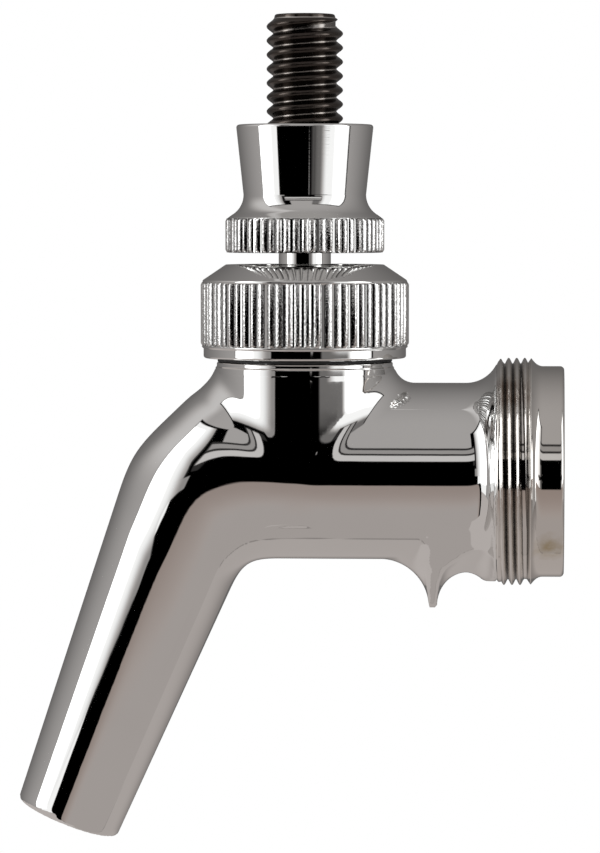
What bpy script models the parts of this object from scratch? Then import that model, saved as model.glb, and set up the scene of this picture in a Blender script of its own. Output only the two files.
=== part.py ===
# Forward-sealing beer faucet: cast body with spout, knurled bonnet, ball lever, lever collar, sliding valve.
# Frame: the origin is the centre of the rear coupling face, +X points back to the shank and +Z points up.
import math

import bmesh
import bpy
import numpy as np

MM = 0.001

# Clearances, in millimetres
SEAT_GAP = 0.3
THREAD_GAP = 0.2
GASKET_GAP = 0.08

# Facets round each kind of turned piece
BODY_SIDES = 40
BORE_SIDES = 36
SMALL_SIDES = 28
SEAL_SIDES = 8

# Cast body
REAR_TO_LEVER = 32.3
REAR_TO_SPOUT = 45.1
BARREL_RADIUS = 11.0
SPOUT_TILT = math.radians(21.4)
SPOUT_LENGTH = 47.1
SPOUT_TIP_RADIUS = 6.5
SPOUT_TOP_RADIUS = 8.9
SPOUT_EDGE = 0.4
BEND_RADIUS = 12.9
BEND_STEPS = 8
NECK_RADIUS = 11.05
NECK_SIDE_STEP = 0.2
NECK_ABOVE_BARREL = 2.6
NECK_FILLET = 3.4
SHOULDER_DROP = 6.0

# Rear coupling
THREAD_RADIUS = 14.2
THREAD_LENGTH = 6.1
THREAD_CHAMFER = 0.4
THREAD_RUNOUT = 1.4
RUNOUT_HOLLOW = 0.3
PILOT_STEP = 1.1
PILOT_LENGTH = 2.6
PILOT_EDGE = 0.6
FLARE_STEP = 0.3
SOCKET_WALL = 2.5
SOCKET_DEPTH = 6.6
SERRATION_COUNT = 30
SERRATION_DEPTH = 0.6
SERRATION_LENGTH = 1.7

# Drip point under the barrel
DRIP_TO_REAR = 16.4
DRIP_HEIGHT = 6.1
DRIP_SADDLE_SHARE = 0.655
DRIP_TIP_RADIUS = 0.35
DRIP_SIDE_SHARE = 0.55
DRIP_SPREAD = 1.45
DRIP_ROOT = 1.8
DRIP_BURIED = 1.1
DRIP_STEPS = 7

# Waterways
BARREL_WALL = 4.8
REAR_TO_SEAT = 38.5
OUTLET_RADIUS = 4.75
OUTLET_BEND = 7.0
LEDGE_THICKNESS = 1.0

# Ball pivot stack
BALL_RADIUS = 5.55
BALL_ABOVE_LEDGE = 5.3
SEAL_RADIUS = 0.95
PASSAGE_RADIUS = 4.4
BALL_WASHER_WALL = 1.25
BALL_WASHER_RISE = 0.5
FRICTION_WALL_STEP = 0.6
FRICTION_SEAT_RISE = 3.0
FRICTION_HEIGHT = 5.8
SPIGOT_WALL = 1.9
SPIGOT_HEIGHT = 5.4
TILT_MAX = math.radians(20.0)

# Bonnet
BONNET_RADIUS = 13.05
BONNET_BAND_RADIUS = 12.6
BONNET_BAND_HEIGHT = 1.5
BONNET_KNURL_HEIGHT = 8.1
BONNET_CONE_HEIGHT = 2.05
BONNET_LIP = 1.4
BONNET_EDGE = 0.3
BONNET_TEETH = 68
GASKET_THICKNESS = 0.3
GASKET_WIDTH = 0.8

# Lever, stud and collar
LEVER_NECK_RADIUS = 3.25
FINGER_RADIUS = 1.7
FINGER_TIP_RADIUS = 2.2
HEAD_RADIUS = 6.0
HEAD_HEIGHT = 6.4
HEAD_FLOOR = 1.6
STUD_RADIUS = 4.76
STUD_RISE = 13.66
STUD_CHAMFER = 0.8
COLLAR_KNURL_RADIUS = 10.0
COLLAR_KNURL_HEIGHT = 4.3
COLLAR_RIM = 0.55
COLLAR_EDGE = 0.3
COLLAR_HEIGHT = 15.9
COLLAR_TOP_RADIUS = 8.56
COLLAR_WAIST_RADIUS = 7.63
COLLAR_FLARE_RADIUS = 2.9
COLLAR_FLARE_STEP = 1.4
COLLAR_TEETH = 58

# Knurls
KNURL_DEPTH = 0.35
KNURL_LAND = 0.1

# Valve shaft
GUIDE_CLEARANCE = 0.3
BLOCK_FRONT = 3.9
BLOCK_REAR = 4.6
BLOCK_FLAT = 1.4
SLOT_CLEARANCE = 0.25
CORE_RADIUS = 2.8
CORE_LENGTH = 3.7
GUIDE_LENGTH = 4.0
FLAT_END = 0.5
FLUTE_COUNT = 3
FLUTE_RADIUS = 2.4
BACKING_STEP = 0.9
VALVE_SEAL_RADIUS = 1.0
STUB_RADIUS = 1.6
NUT_RADIUS = 4.1
NUT_LENGTH = 2.0
NUT_SIDES = 6

# Coupling washer
WASHER_THICKNESS = 1.9
WASHER_STEP = 0.6
WASHER_WIDTH = 3.2

# Sizes that follow from those above
BORE_RADIUS = BARREL_RADIUS - BARREL_WALL
PILOT_RADIUS = THREAD_RADIUS - PILOT_STEP
SOCKET_RADIUS = PILOT_RADIUS - SOCKET_WALL
LEDGE = BORE_RADIUS + LEDGE_THICKNESS
PIVOT = LEDGE + BALL_ABOVE_LEDGE
NECK_TOP = BARREL_RADIUS + NECK_ABOVE_BARREL
SEAT_SPHERE = BALL_RADIUS + SEAT_GAP
SEAL_HEIGHT = LEDGE + SEAL_RADIUS + THREAD_GAP
SEAL_DROP = PIVOT - SEAL_HEIGHT
SEAL_CIRCLE = math.sqrt((BALL_RADIUS + SEAL_RADIUS + THREAD_GAP) ** 2 - SEAL_DROP ** 2)
SEAL_POCKET_RADIUS = SEAL_CIRCLE + SEAL_RADIUS + SEAT_GAP
SEAL_POCKET_TOP = SEAL_HEIGHT + SEAL_RADIUS
BALL_WASHER_RADIUS = SEAT_SPHERE + BALL_WASHER_WALL
BALL_WASHER_BORE = BALL_WASHER_RADIUS + SEAT_GAP
BALL_WASHER_TOP = PIVOT + BALL_WASHER_RISE
BALL_WASHER_BOTTOM = SEAL_POCKET_TOP + SEAT_GAP
FRICTION_FLOOR = BALL_WASHER_TOP + SEAT_GAP
FRICTION_BOTTOM = FRICTION_FLOOR + SEAT_GAP
FRICTION_TOP = FRICTION_BOTTOM + FRICTION_HEIGHT
FRICTION_BORE = BALL_WASHER_BORE + FRICTION_WALL_STEP
FRICTION_RADIUS = FRICTION_BORE - SEAT_GAP
SPIGOT_RADIUS = FRICTION_BORE + SPIGOT_WALL
SPIGOT_TOP = NECK_TOP + SPIGOT_HEIGHT
BONNET_BORE = SPIGOT_RADIUS + SEAT_GAP
BONNET_BOTTOM = NECK_TOP + GASKET_THICKNESS + 2 * GASKET_GAP
BONNET_CEILING = max(FRICTION_TOP, SPIGOT_TOP) + SEAT_GAP
BONNET_KNURL_BOTTOM = BONNET_BOTTOM + BONNET_BAND_HEIGHT
BONNET_KNURL_TOP = BONNET_KNURL_BOTTOM + BONNET_KNURL_HEIGHT
BONNET_TOP = BONNET_KNURL_TOP + BONNET_CONE_HEIGHT
BARREL_END = PILOT_LENGTH + THREAD_LENGTH
FLARE_RADIUS = THREAD_RADIUS - FLARE_STEP - BARREL_RADIUS
DRIP_SADDLE = FLARE_RADIUS * DRIP_SADDLE_SHARE


def neck_sweep(height):
    # Radius that the tilting lever neck needs at a height above the pivot
    return height * math.tan(TILT_MAX) + LEVER_NECK_RADIUS / math.cos(TILT_MAX) + SEAT_GAP


BONNET_MOUTH = neck_sweep(BONNET_CEILING - PIVOT)
BONNET_HOLE = neck_sweep(BONNET_TOP - PIVOT)
BONNET_TOP_RADIUS = BONNET_HOLE + BONNET_LIP

# The collar is hollowed to a sphere round the pivot, so it passes the bonnet at every tilt
HOLLOW_RADIUS = SEAT_GAP + max(
    math.hypot(BONNET_TOP_RADIUS, BONNET_TOP - PIVOT),
    math.hypot(BONNET_RADIUS, BONNET_KNURL_TOP - PIVOT),
)
RIM_INNER = COLLAR_KNURL_RADIUS - COLLAR_RIM
COLLAR_BOTTOM = math.sqrt(HOLLOW_RADIUS ** 2 - RIM_INNER ** 2)
COLLAR_TOP = COLLAR_BOTTOM + COLLAR_HEIGHT
COLLAR_KNURL_TOP = COLLAR_BOTTOM + COLLAR_KNURL_HEIGHT
HEAD_BORE = HEAD_RADIUS + SEAT_GAP
HEAD_BOTTOM = HOLLOW_RADIUS + THREAD_GAP
HEAD_TOP = HEAD_BOTTOM + HEAD_HEIGHT
STUD_BOTTOM = HEAD_BOTTOM + HEAD_FLOOR + SEAT_GAP
STUD_TOP = COLLAR_TOP + STUD_RISE
STUD_BORE = STUD_RADIUS + THREAD_GAP

GUIDE_RADIUS = BORE_RADIUS - GUIDE_CLEARANCE
BACKING_RADIUS = GUIDE_RADIUS - BACKING_STEP
SLOT_RADIUS = FINGER_TIP_RADIUS + SLOT_CLEARANCE
SEAT_FRONT = REAR_TO_LEVER - REAR_TO_SEAT
VALVE_SEAL_CIRCLE = BORE_RADIUS - math.sqrt(2.0) * (VALVE_SEAL_RADIUS + SEAT_GAP)
VALVE_SPIGOT_RADIUS = VALVE_SEAL_CIRCLE - VALVE_SEAL_RADIUS - THREAD_GAP
GUIDE_FRONT = BLOCK_REAR + CORE_LENGTH
GUIDE_REAR = GUIDE_FRONT + GUIDE_LENGTH
SPIGOT_REAR = SEAT_FRONT + VALVE_SEAL_RADIUS + THREAD_GAP
SPIGOT_FRONT = SEAT_FRONT - VALVE_SEAL_RADIUS - THREAD_GAP
NUT_FRONT = SPIGOT_FRONT - SEAT_GAP - NUT_LENGTH

SPOUT_DIRECTION = np.array([-math.sin(SPOUT_TILT), 0.0, -math.cos(SPOUT_TILT)])
SPOUT_CORNER = np.array([-REAR_TO_SPOUT, 0.0, 0.0])
LEVER_AXIS = np.array([-REAR_TO_LEVER, 0.0, 0.0])
PIVOT_POINT = LEVER_AXIS + np.array([0.0, 0.0, PIVOT])

# Finishes: colour, metallic, roughness
POLISHED_STEEL = ((0.72, 0.70, 0.68), 1.0, 0.08)
BLACK_OXIDE = ((0.035, 0.03, 0.027), 0.9, 0.38)
TURNED_STEEL = ((0.56, 0.56, 0.55), 1.0, 0.25)
WHITE_ACETAL = ((0.82, 0.81, 0.77), 0.0, 0.4)
BLACK_RUBBER = ((0.02, 0.02, 0.021), 0.0, 0.6)


def clear_scene():
    for item in list(bpy.data.objects):
        bpy.data.objects.remove(item, do_unlink=True)


def new_collection(name):
    group = bpy.data.collections.new(name)
    bpy.context.scene.collection.children.link(group)
    return group


def new_empty(name, point, parent=None):
    empty = bpy.data.objects.new(name, None)
    PARTS.objects.link(empty)
    empty.parent = parent
    origin = np.zeros(3) if parent is None else np.array(parent.location) / MM
    empty.location = (np.array(point) - origin) * MM
    return empty


def new_mesh_object(name, mesh, group):
    item = bpy.data.objects.new(name, mesh)
    group.objects.link(item)
    return item


def arc(centre, radius, start, end, steps):
    # Points of an arc in the plane of the profile, angles in degrees
    angles = np.radians(np.linspace(start, end, steps + 1))
    return [(centre[0] + radius * math.cos(a), centre[1] + radius * math.sin(a)) for a in angles]


def turned(name, profile, sides, group, closed=True):
    # Turn a profile of (radius, height) points about Z; it runs down the outside and up the inside
    mesh = bpy.data.meshes.new(name)
    count = len(profile)
    edges = [(i, i + 1) for i in range(count - 1)]
    if closed:
        edges.append((count - 1, 0))
    mesh.from_pydata([(r * MM, 0.0, h * MM) for r, h in profile], edges, [])
    item = new_mesh_object(name, mesh, group)
    screw = item.modifiers.new("turn", "SCREW")
    screw.steps = sides
    screw.render_steps = sides
    screw.use_merge_vertices = True
    screw.merge_threshold = 0.000001
    screw.use_smooth_shade = False
    return item


def loft(name, rings, group):
    # Skin a stack of rings that have the same number of points, and close both ends
    shape = bmesh.new()
    loops = [[shape.verts.new(np.array(p) * MM) for p in ring] for ring in rings]
    sides = len(rings[0])
    for lower, upper in zip(loops, loops[1:]):
        for i in range(sides):
            j = (i + 1) % sides
            shape.faces.new((lower[i], lower[j], upper[j], upper[i]))
    shape.faces.new(loops[0])
    shape.faces.new(loops[-1])
    bmesh.ops.recalc_face_normals(shape, faces=shape.faces)
    mesh = bpy.data.meshes.new(name)
    shape.to_mesh(mesh)
    shape.free()
    return new_mesh_object(name, mesh, group)


def curve_as_mesh(curve_object, group):
    # Turn an evaluated curve into a plain closed mesh object of the same name
    view = bpy.context.evaluated_depsgraph_get()
    mesh = bpy.data.meshes.new_from_object(curve_object.evaluated_get(view))
    shape = bmesh.new()
    shape.from_mesh(mesh)
    bmesh.ops.remove_doubles(shape, verts=shape.verts, dist=0.000001)
    bmesh.ops.recalc_face_normals(shape, faces=shape.faces)
    shape.to_mesh(mesh)
    shape.free()
    name = curve_object.name
    place = curve_object.matrix_world.copy()
    bpy.data.objects.remove(curve_object, do_unlink=True)
    item = new_mesh_object(name, mesh, group)
    item.matrix_world = place
    return item


def tube(name, points, radii, sides, group):
    # Tube along a path, with its own radius at each point
    curve = bpy.data.curves.new(name, "CURVE")
    curve.dimensions = "3D"
    curve.bevel_depth = MM
    curve.bevel_resolution = sides // 2 - 2
    curve.use_fill_caps = True
    spline = curve.splines.new("POLY")
    spline.points.add(len(points) - 1)
    for knot, point, radius in zip(spline.points, points, radii):
        knot.co = (point[0] * MM, point[1] * MM, point[2] * MM, 1.0)
        knot.radius = radius
    item = bpy.data.objects.new(name, curve)
    group.objects.link(item)
    bpy.context.view_layer.update()
    return curve_as_mesh(item, group)


def toothed_cutter(name, inner, outer, half_height, group):
    # Ring-shaped cutter between two outlines
    curve = bpy.data.curves.new(name, "CURVE")
    curve.dimensions = "2D"
    curve.fill_mode = "BOTH"
    curve.extrude = half_height * MM
    for outline in (outer, inner):
        spline = curve.splines.new("POLY")
        spline.points.add(len(outline) - 1)
        spline.use_cyclic_u = True
        for knot, (x, y) in zip(spline.points, outline):
            knot.co = (x * MM, y * MM, 0.0, 1.0)
    item = bpy.data.objects.new(name, curve)
    group.objects.link(item)
    bpy.context.view_layer.update()
    return curve_as_mesh(item, group)


def ring_outline(radii, count):
    # Closed outline that takes the given radii in turn
    outline = []
    for i in range(count):
        radius = radii[i % len(radii)]
        angle = math.tau * i / count
        outline.append((radius * math.cos(angle), radius * math.sin(angle)))
    return outline


def box(name, low, high, group):
    # Box between two corners
    shape = bmesh.new()
    bmesh.ops.create_cube(shape, size=1.0)
    mesh = bpy.data.meshes.new(name)
    shape.to_mesh(mesh)
    shape.free()
    low = np.array(low)
    high = np.array(high)
    for vertex in mesh.vertices:
        vertex.co = ((low + high) / 2 + np.array(vertex.co) * (high - low)) * MM
    return new_mesh_object(name, mesh, group)


def combine(item, other, operation):
    step = item.modifiers.new(operation.lower() + " " + other.name, "BOOLEAN")
    step.operation = operation
    step.solver = "EXACT"
    step.object = other
    other.hide_render = True
    other.display_type = "WIRE"


def bend_path(corner, radius, steps):
    # Arc of the centreline between the spout direction and the barrel direction
    turn = math.pi / 2 - SPOUT_TILT
    reach = radius * math.tan(turn / 2)
    start = corner + SPOUT_DIRECTION * reach
    normal = np.array([math.cos(SPOUT_TILT), 0.0, -math.sin(SPOUT_TILT)])
    centre = start + normal * radius
    path = []
    for i in range(steps + 1):
        angle = turn * i / steps
        path.append(centre - normal * radius * math.cos(angle) - SPOUT_DIRECTION * radius * math.sin(angle))
    return path


def half_ellipses(height, front, back, side, centre_x):
    # Ring of two half ellipses that share their width across the faucet
    points = []
    for i in range(BODY_SIDES):
        angle = math.tau * i / BODY_SIDES
        reach = back if math.cos(angle) > 0.0 else front
        points.append((centre_x + reach * math.cos(angle), side * math.sin(angle), height))
    return points


def make_finish(name, finish):
    colour, metallic, roughness = finish
    material = bpy.data.materials.new(name)
    material.use_nodes = True
    shader = material.node_tree.nodes["Principled BSDF"]
    shader.inputs["Base Color"].default_value = (*colour, 1.0)
    shader.inputs["Metallic"].default_value = metallic
    shader.inputs["Roughness"].default_value = roughness
    return material


def settle(item, parent, point, finish):
    # Give a part its finish and hang it on its carrier with its origin at a point
    item.data.materials.append(make_finish(item.name + "_finish", finish))
    item.parent = parent
    item.location = (np.array(point) - CARRIER_POINTS[parent.name]) * MM


def body_spine():
    # Spout, bend, barrel, flare, thread land and pilot as one tube of changing radius
    tip = SPOUT_CORNER + SPOUT_DIRECTION * SPOUT_LENGTH
    points = [tip, tip - SPOUT_DIRECTION * SPOUT_EDGE]
    radii = [SPOUT_TIP_RADIUS - SPOUT_EDGE, SPOUT_TIP_RADIUS]
    for i, point in enumerate(bend_path(SPOUT_CORNER, BEND_RADIUS, BEND_STEPS)):
        share = i / BEND_STEPS
        points.append(point)
        radii.append(SPOUT_TOP_RADIUS + (BARREL_RADIUS - SPOUT_TOP_RADIUS) * share * (2.0 - share))
    flare_centre = (-BARREL_END - FLARE_RADIUS, BARREL_RADIUS + FLARE_RADIUS)
    rear = arc(flare_centre, FLARE_RADIUS, -90.0, 0.0, 5)
    rear.append((-BARREL_END + THREAD_CHAMFER, THREAD_RADIUS))
    rear.append((-PILOT_LENGTH - THREAD_RUNOUT, THREAD_RADIUS))
    rear.append((-PILOT_LENGTH - THREAD_RUNOUT / 2, PILOT_RADIUS + PILOT_STEP * RUNOUT_HOLLOW))
    rear.append((-PILOT_LENGTH, PILOT_RADIUS))
    rear.append((-PILOT_EDGE, PILOT_RADIUS))
    rear.append((0.0, PILOT_RADIUS - PILOT_EDGE))
    for x, radius in rear:
        points.append(np.array([x, 0.0, 0.0]))
        radii.append(radius)
    return tube("faucet_body", points, radii, BODY_SIDES, PARTS)


def body_neck():
    # Neck with its fillets into the barrel, and the hidden spigot that carries the bonnet
    fillet_top = BARREL_RADIUS + NECK_FILLET
    shoulder_start = fillet_top - NECK_FILLET * math.sin(math.pi / 4)
    shoulder_end = BARREL_RADIUS - SHOULDER_DROP
    base = BARREL_RADIUS - NECK_SIDE_STEP

    def fillet(height):
        drop = fillet_top - height
        return NECK_FILLET - math.sqrt(max(NECK_FILLET ** 2 - drop ** 2, 0.0))

    def neck_ring(height, radius, front, back):
        # Circle that swells towards the spout and the coupling, where the fillets are
        points = []
        for i in range(BODY_SIDES):
            angle = math.tau * i / BODY_SIDES
            swell = back if math.cos(angle) > 0.0 else front
            reach = radius + swell * math.cos(angle) ** 4
            points.append((-REAR_TO_LEVER + reach * math.cos(angle), reach * math.sin(angle), height))
        return points

    rings = [neck_ring(0.0, base, 0.0, 0.0)]
    for height in np.linspace(shoulder_end, shoulder_start, 5):
        share = height / shoulder_start
        front = fillet(shoulder_start) + shoulder_start - height
        back = fillet(BARREL_RADIUS) * height / BARREL_RADIUS
        if height > BARREL_RADIUS:
            back = fillet(height)
        rings.append(neck_ring(height, base + (NECK_RADIUS - base) * share, front, back))
    for height in np.linspace(shoulder_start, NECK_TOP, 4)[1:]:
        rings.append(neck_ring(height, NECK_RADIUS, fillet(height), fillet(height)))
    for height in (NECK_TOP, SPIGOT_TOP):
        rings.append(neck_ring(height, SPIGOT_RADIUS, 0.0, 0.0))
    return loft("body_neck", rings, CUTTERS)


def body_drip_point():
    # Horn with hollow flanks; its rear flank runs into the flare of the coupling
    tip_height = -BARREL_RADIUS - DRIP_HEIGHT
    rear_radius = DRIP_HEIGHT - DRIP_SADDLE
    root = DRIP_HEIGHT + DRIP_ROOT
    rises = [root + DRIP_BURIED, root, DRIP_HEIGHT + DRIP_ROOT / 2]
    rises += [DRIP_HEIGHT * math.cos(math.pi / 2 * i / DRIP_STEPS) for i in range(DRIP_STEPS)] + [0.0]
    rings = []
    for rise in rises:
        flank = min(rise, DRIP_HEIGHT)
        spread = DRIP_SPREAD * min(max(rise - DRIP_HEIGHT, 0.0), DRIP_ROOT)
        hollow = DRIP_HEIGHT - math.sqrt(DRIP_HEIGHT ** 2 - flank ** 2)
        front = hollow + DRIP_TIP_RADIUS
        side = hollow * DRIP_SIDE_SHARE + DRIP_TIP_RADIUS + spread
        back = DRIP_TO_REAR - BARREL_END
        if rise < rear_radius:
            back = rear_radius - math.sqrt(rear_radius ** 2 - rise ** 2) + DRIP_TIP_RADIUS
        rings.append(half_ellipses(tip_height + rise, front, back, side, -DRIP_TO_REAR))
    return loft("body_drip_point", rings, CUTTERS)


def bore_cutters():
    # Barrel bore with its valve seat and rear socket, turned about X
    seat = -REAR_TO_SEAT
    beyond = SOCKET_DEPTH
    profile = [
        (0.0, beyond),
        (SOCKET_RADIUS, beyond),
        (SOCKET_RADIUS, -SOCKET_DEPTH),
        (BORE_RADIUS, -SOCKET_DEPTH),
        (BORE_RADIUS, seat),
        (OUTLET_RADIUS - SEAT_GAP, seat - BORE_RADIUS + OUTLET_RADIUS - SEAT_GAP),
        (0.0, seat - BORE_RADIUS + OUTLET_RADIUS - SEAT_GAP),
    ]
    barrel = turned("barrel_bore", profile, BORE_SIDES, CUTTERS, closed=False)
    barrel.rotation_euler = (0.0, math.pi / 2, 0.0)
    # Spout waterway
    bend = bend_path(SPOUT_CORNER, OUTLET_BEND, BEND_STEPS)
    end = SPOUT_CORNER + SPOUT_DIRECTION * (SPOUT_LENGTH + SPOUT_TIP_RADIUS)
    inlet = np.array([seat, 0.0, 0.0])
    points = [end] + bend + [inlet]
    outlet = tube("spout_bore", points, [OUTLET_RADIUS] * len(points), SMALL_SIDES, CUTTERS)
    # Stepped chamber for the ball and its seats
    top = SPIGOT_TOP + SPIGOT_HEIGHT
    profile = [
        (0.0, top),
        (FRICTION_BORE, top),
        (FRICTION_BORE, FRICTION_FLOOR),
        (BALL_WASHER_BORE, FRICTION_FLOOR),
        (BALL_WASHER_BORE, SEAL_POCKET_TOP),
        (SEAL_POCKET_RADIUS, SEAL_POCKET_TOP),
        (SEAL_POCKET_RADIUS, LEDGE),
        (PASSAGE_RADIUS, LEDGE),
        (PASSAGE_RADIUS, 0.0),
        (0.0, 0.0),
    ]
    chamber = turned("ball_chamber", profile, BORE_SIDES, CUTTERS, closed=False)
    chamber.location = LEVER_AXIS * MM
    # Serrations that key the socket to the shank
    core = SOCKET_RADIUS - SERRATION_DEPTH
    inner = ring_outline([core], SERRATION_COUNT)
    outer = ring_outline([SOCKET_RADIUS + SERRATION_DEPTH, core + SERRATION_DEPTH / 2], 2 * SERRATION_COUNT)
    serrations = toothed_cutter("socket_serrations", inner, outer, SERRATION_LENGTH, CUTTERS)
    serrations.rotation_euler = (0.0, math.pi / 2, 0.0)
    return [barrel, outlet, chamber, serrations]


def make_body():
    body = body_spine()
    combine(body, body_neck(), "UNION")
    combine(body, body_drip_point(), "UNION")
    for cutter in bore_cutters():
        combine(body, cutter, "DIFFERENCE")
    settle(body, FAUCET, np.zeros(3), POLISHED_STEEL)


def knurl(item, radius, teeth, bottom, top):
    # Cut straight V grooves round a turned band, running out past both of its edges
    outer = ring_outline([radius + KNURL_DEPTH * 3], teeth)
    inner = ring_outline([radius + KNURL_LAND, radius - KNURL_DEPTH], 2 * teeth)
    cutter = toothed_cutter(item.name + "_knurl", inner, outer, (top - bottom) / 2 + KNURL_DEPTH, CUTTERS)
    cutter.location = (LEVER_AXIS + np.array([0.0, 0.0, (top + bottom) / 2])) * MM
    combine(item, cutter, "DIFFERENCE")


def make_bonnet():
    profile = [
        (BONNET_TOP_RADIUS, BONNET_TOP),
        (BONNET_RADIUS, BONNET_KNURL_TOP),
        (BONNET_RADIUS, BONNET_KNURL_BOTTOM),
        (BONNET_BAND_RADIUS, BONNET_KNURL_BOTTOM - BONNET_EDGE),
        (BONNET_BAND_RADIUS, BONNET_BOTTOM + BONNET_EDGE),
        (BONNET_BAND_RADIUS - BONNET_EDGE, BONNET_BOTTOM),
        (BONNET_BORE, BONNET_BOTTOM),
        (BONNET_BORE, BONNET_CEILING),
        (BONNET_MOUTH, BONNET_CEILING),
        (BONNET_HOLE, BONNET_TOP),
    ]
    bonnet = turned("bonnet", profile, BONNET_TEETH, PARTS)
    settle(bonnet, FAUCET, LEVER_AXIS, POLISHED_STEEL)
    knurl(bonnet, BONNET_RADIUS, BONNET_TEETH, BONNET_KNURL_BOTTOM, BONNET_KNURL_TOP)


def ring(name, inner, outer, bottom, top, sides):
    profile = [(outer, top), (outer, bottom), (inner, bottom), (inner, top)]
    return turned(name, profile, sides, PARTS)


def seal(name, circle, radius, height, sides):
    # Round-section ring, listed clockwise so that it faces out
    profile = arc((circle, height), radius, 90.0, -270.0, SEAL_SIDES)[:-1]
    return turned(name, profile, sides, PARTS)


def make_ball_stack():
    gasket_bottom = NECK_TOP + GASKET_GAP
    gasket_inner = SPIGOT_RADIUS + THREAD_GAP
    gasket = ring("bonnet_gasket", gasket_inner, gasket_inner + GASKET_WIDTH, gasket_bottom,
                  gasket_bottom + GASKET_THICKNESS, BODY_SIDES)
    settle(gasket, FAUCET, LEVER_AXIS, BLACK_RUBBER)

    o_ring = seal("ball_o_ring", SEAL_CIRCLE, SEAL_RADIUS, SEAL_HEIGHT, SMALL_SIDES)
    settle(o_ring, FAUCET, LEVER_AXIS, BLACK_RUBBER)

    def seat_angle(height):
        return math.degrees(math.asin((height - PIVOT) / SEAT_SPHERE))

    seat_bottom = seat_angle(BALL_WASHER_BOTTOM)
    lower_seat = arc((0.0, PIVOT), SEAT_SPHERE, seat_bottom, seat_angle(BALL_WASHER_TOP), 5)
    profile = [(BALL_WASHER_RADIUS, BALL_WASHER_TOP), (BALL_WASHER_RADIUS, BALL_WASHER_BOTTOM)] + lower_seat
    washer = turned("ball_washer", profile, BORE_SIDES, PARTS)
    settle(washer, FAUCET, LEVER_AXIS, WHITE_ACETAL)

    seat_top = PIVOT + FRICTION_SEAT_RISE
    upper_seat = arc((0.0, PIVOT), SEAT_SPHERE, seat_angle(FRICTION_BOTTOM), seat_angle(seat_top), 3)
    profile = [(FRICTION_RADIUS, FRICTION_TOP), (FRICTION_RADIUS, FRICTION_BOTTOM)] + upper_seat
    profile.append((neck_sweep(FRICTION_TOP - PIVOT), FRICTION_TOP))
    friction = turned("friction_washer", profile, BORE_SIDES, PARTS)
    settle(friction, FAUCET, LEVER_AXIS, WHITE_ACETAL)


def make_lever():
    # Turned lever: head, neck, ball, finger and finger tip, with heights from the pivot
    def edge_angle(radius, sphere):
        return math.degrees(math.acos(radius / sphere))

    ball = arc((0.0, 0.0), BALL_RADIUS, edge_angle(LEVER_NECK_RADIUS, BALL_RADIUS),
               -edge_angle(FINGER_RADIUS, BALL_RADIUS), 9)
    tip = arc((0.0, -PIVOT), FINGER_TIP_RADIUS, edge_angle(FINGER_RADIUS, FINGER_TIP_RADIUS), -90.0, 5)
    socket = STUD_BORE
    profile = [
        (socket, HEAD_TOP),
        (HEAD_RADIUS, HEAD_TOP),
        (HEAD_RADIUS, HEAD_BOTTOM),
        (LEVER_NECK_RADIUS, HEAD_BOTTOM),
    ]
    profile += ball + tip[:-1]
    profile.append((0.0, -PIVOT - FINGER_TIP_RADIUS))
    profile.insert(0, (socket, HEAD_BOTTOM + HEAD_FLOOR))
    profile.insert(0, (0.0, HEAD_BOTTOM + HEAD_FLOOR))
    lever = turned("lever", profile, SMALL_SIDES, PARTS, closed=False)
    settle(lever, LEVER_PIVOT, PIVOT_POINT, POLISHED_STEEL)

    profile = [
        (0.0, STUD_TOP),
        (STUD_RADIUS - STUD_CHAMFER, STUD_TOP),
        (STUD_RADIUS, STUD_TOP - STUD_CHAMFER),
        (STUD_RADIUS, STUD_BOTTOM),
        (0.0, STUD_BOTTOM),
    ]
    stud = turned("handle_stud", profile, SMALL_SIDES, PARTS, closed=False)
    settle(stud, LEVER_PIVOT, PIVOT_POINT, BLACK_OXIDE)


def make_collar():
    waist = COLLAR_KNURL_TOP + COLLAR_FLARE_RADIUS
    flare_centre = (COLLAR_WAIST_RADIUS + COLLAR_FLARE_RADIUS, waist)
    flare_end = 180.0 + math.degrees(math.acos(COLLAR_FLARE_STEP / COLLAR_FLARE_RADIUS))
    hollow_start = math.degrees(math.acos(RIM_INNER / HOLLOW_RADIUS))
    hollow_end = math.degrees(math.acos(HEAD_BORE / HOLLOW_RADIUS))
    profile = [
        (COLLAR_TOP_RADIUS - COLLAR_EDGE, COLLAR_TOP),
        (COLLAR_TOP_RADIUS, COLLAR_TOP - COLLAR_EDGE),
    ]
    profile += arc(flare_centre, COLLAR_FLARE_RADIUS, 180.0, flare_end, 4)
    profile += [
        (COLLAR_KNURL_RADIUS - COLLAR_EDGE, COLLAR_KNURL_TOP),
        (COLLAR_KNURL_RADIUS, COLLAR_KNURL_TOP - COLLAR_EDGE),
        (COLLAR_KNURL_RADIUS, COLLAR_BOTTOM + COLLAR_EDGE),
        (COLLAR_KNURL_RADIUS - COLLAR_EDGE, COLLAR_BOTTOM),
    ]
    profile += arc((0.0, 0.0), HOLLOW_RADIUS, hollow_start, hollow_end, 3)
    profile += [
        (HEAD_BORE, HEAD_TOP + SEAT_GAP),
        (STUD_BORE, HEAD_TOP + SEAT_GAP),
        (STUD_BORE, COLLAR_TOP),
    ]
    collar = turned("lever_collar", profile, COLLAR_TEETH, PARTS)
    settle(collar, LEVER_PIVOT, PIVOT_POINT, POLISHED_STEEL)
    knurl(collar, COLLAR_KNURL_RADIUS, COLLAR_TEETH, PIVOT + COLLAR_BOTTOM, PIVOT + COLLAR_KNURL_TOP)


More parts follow.
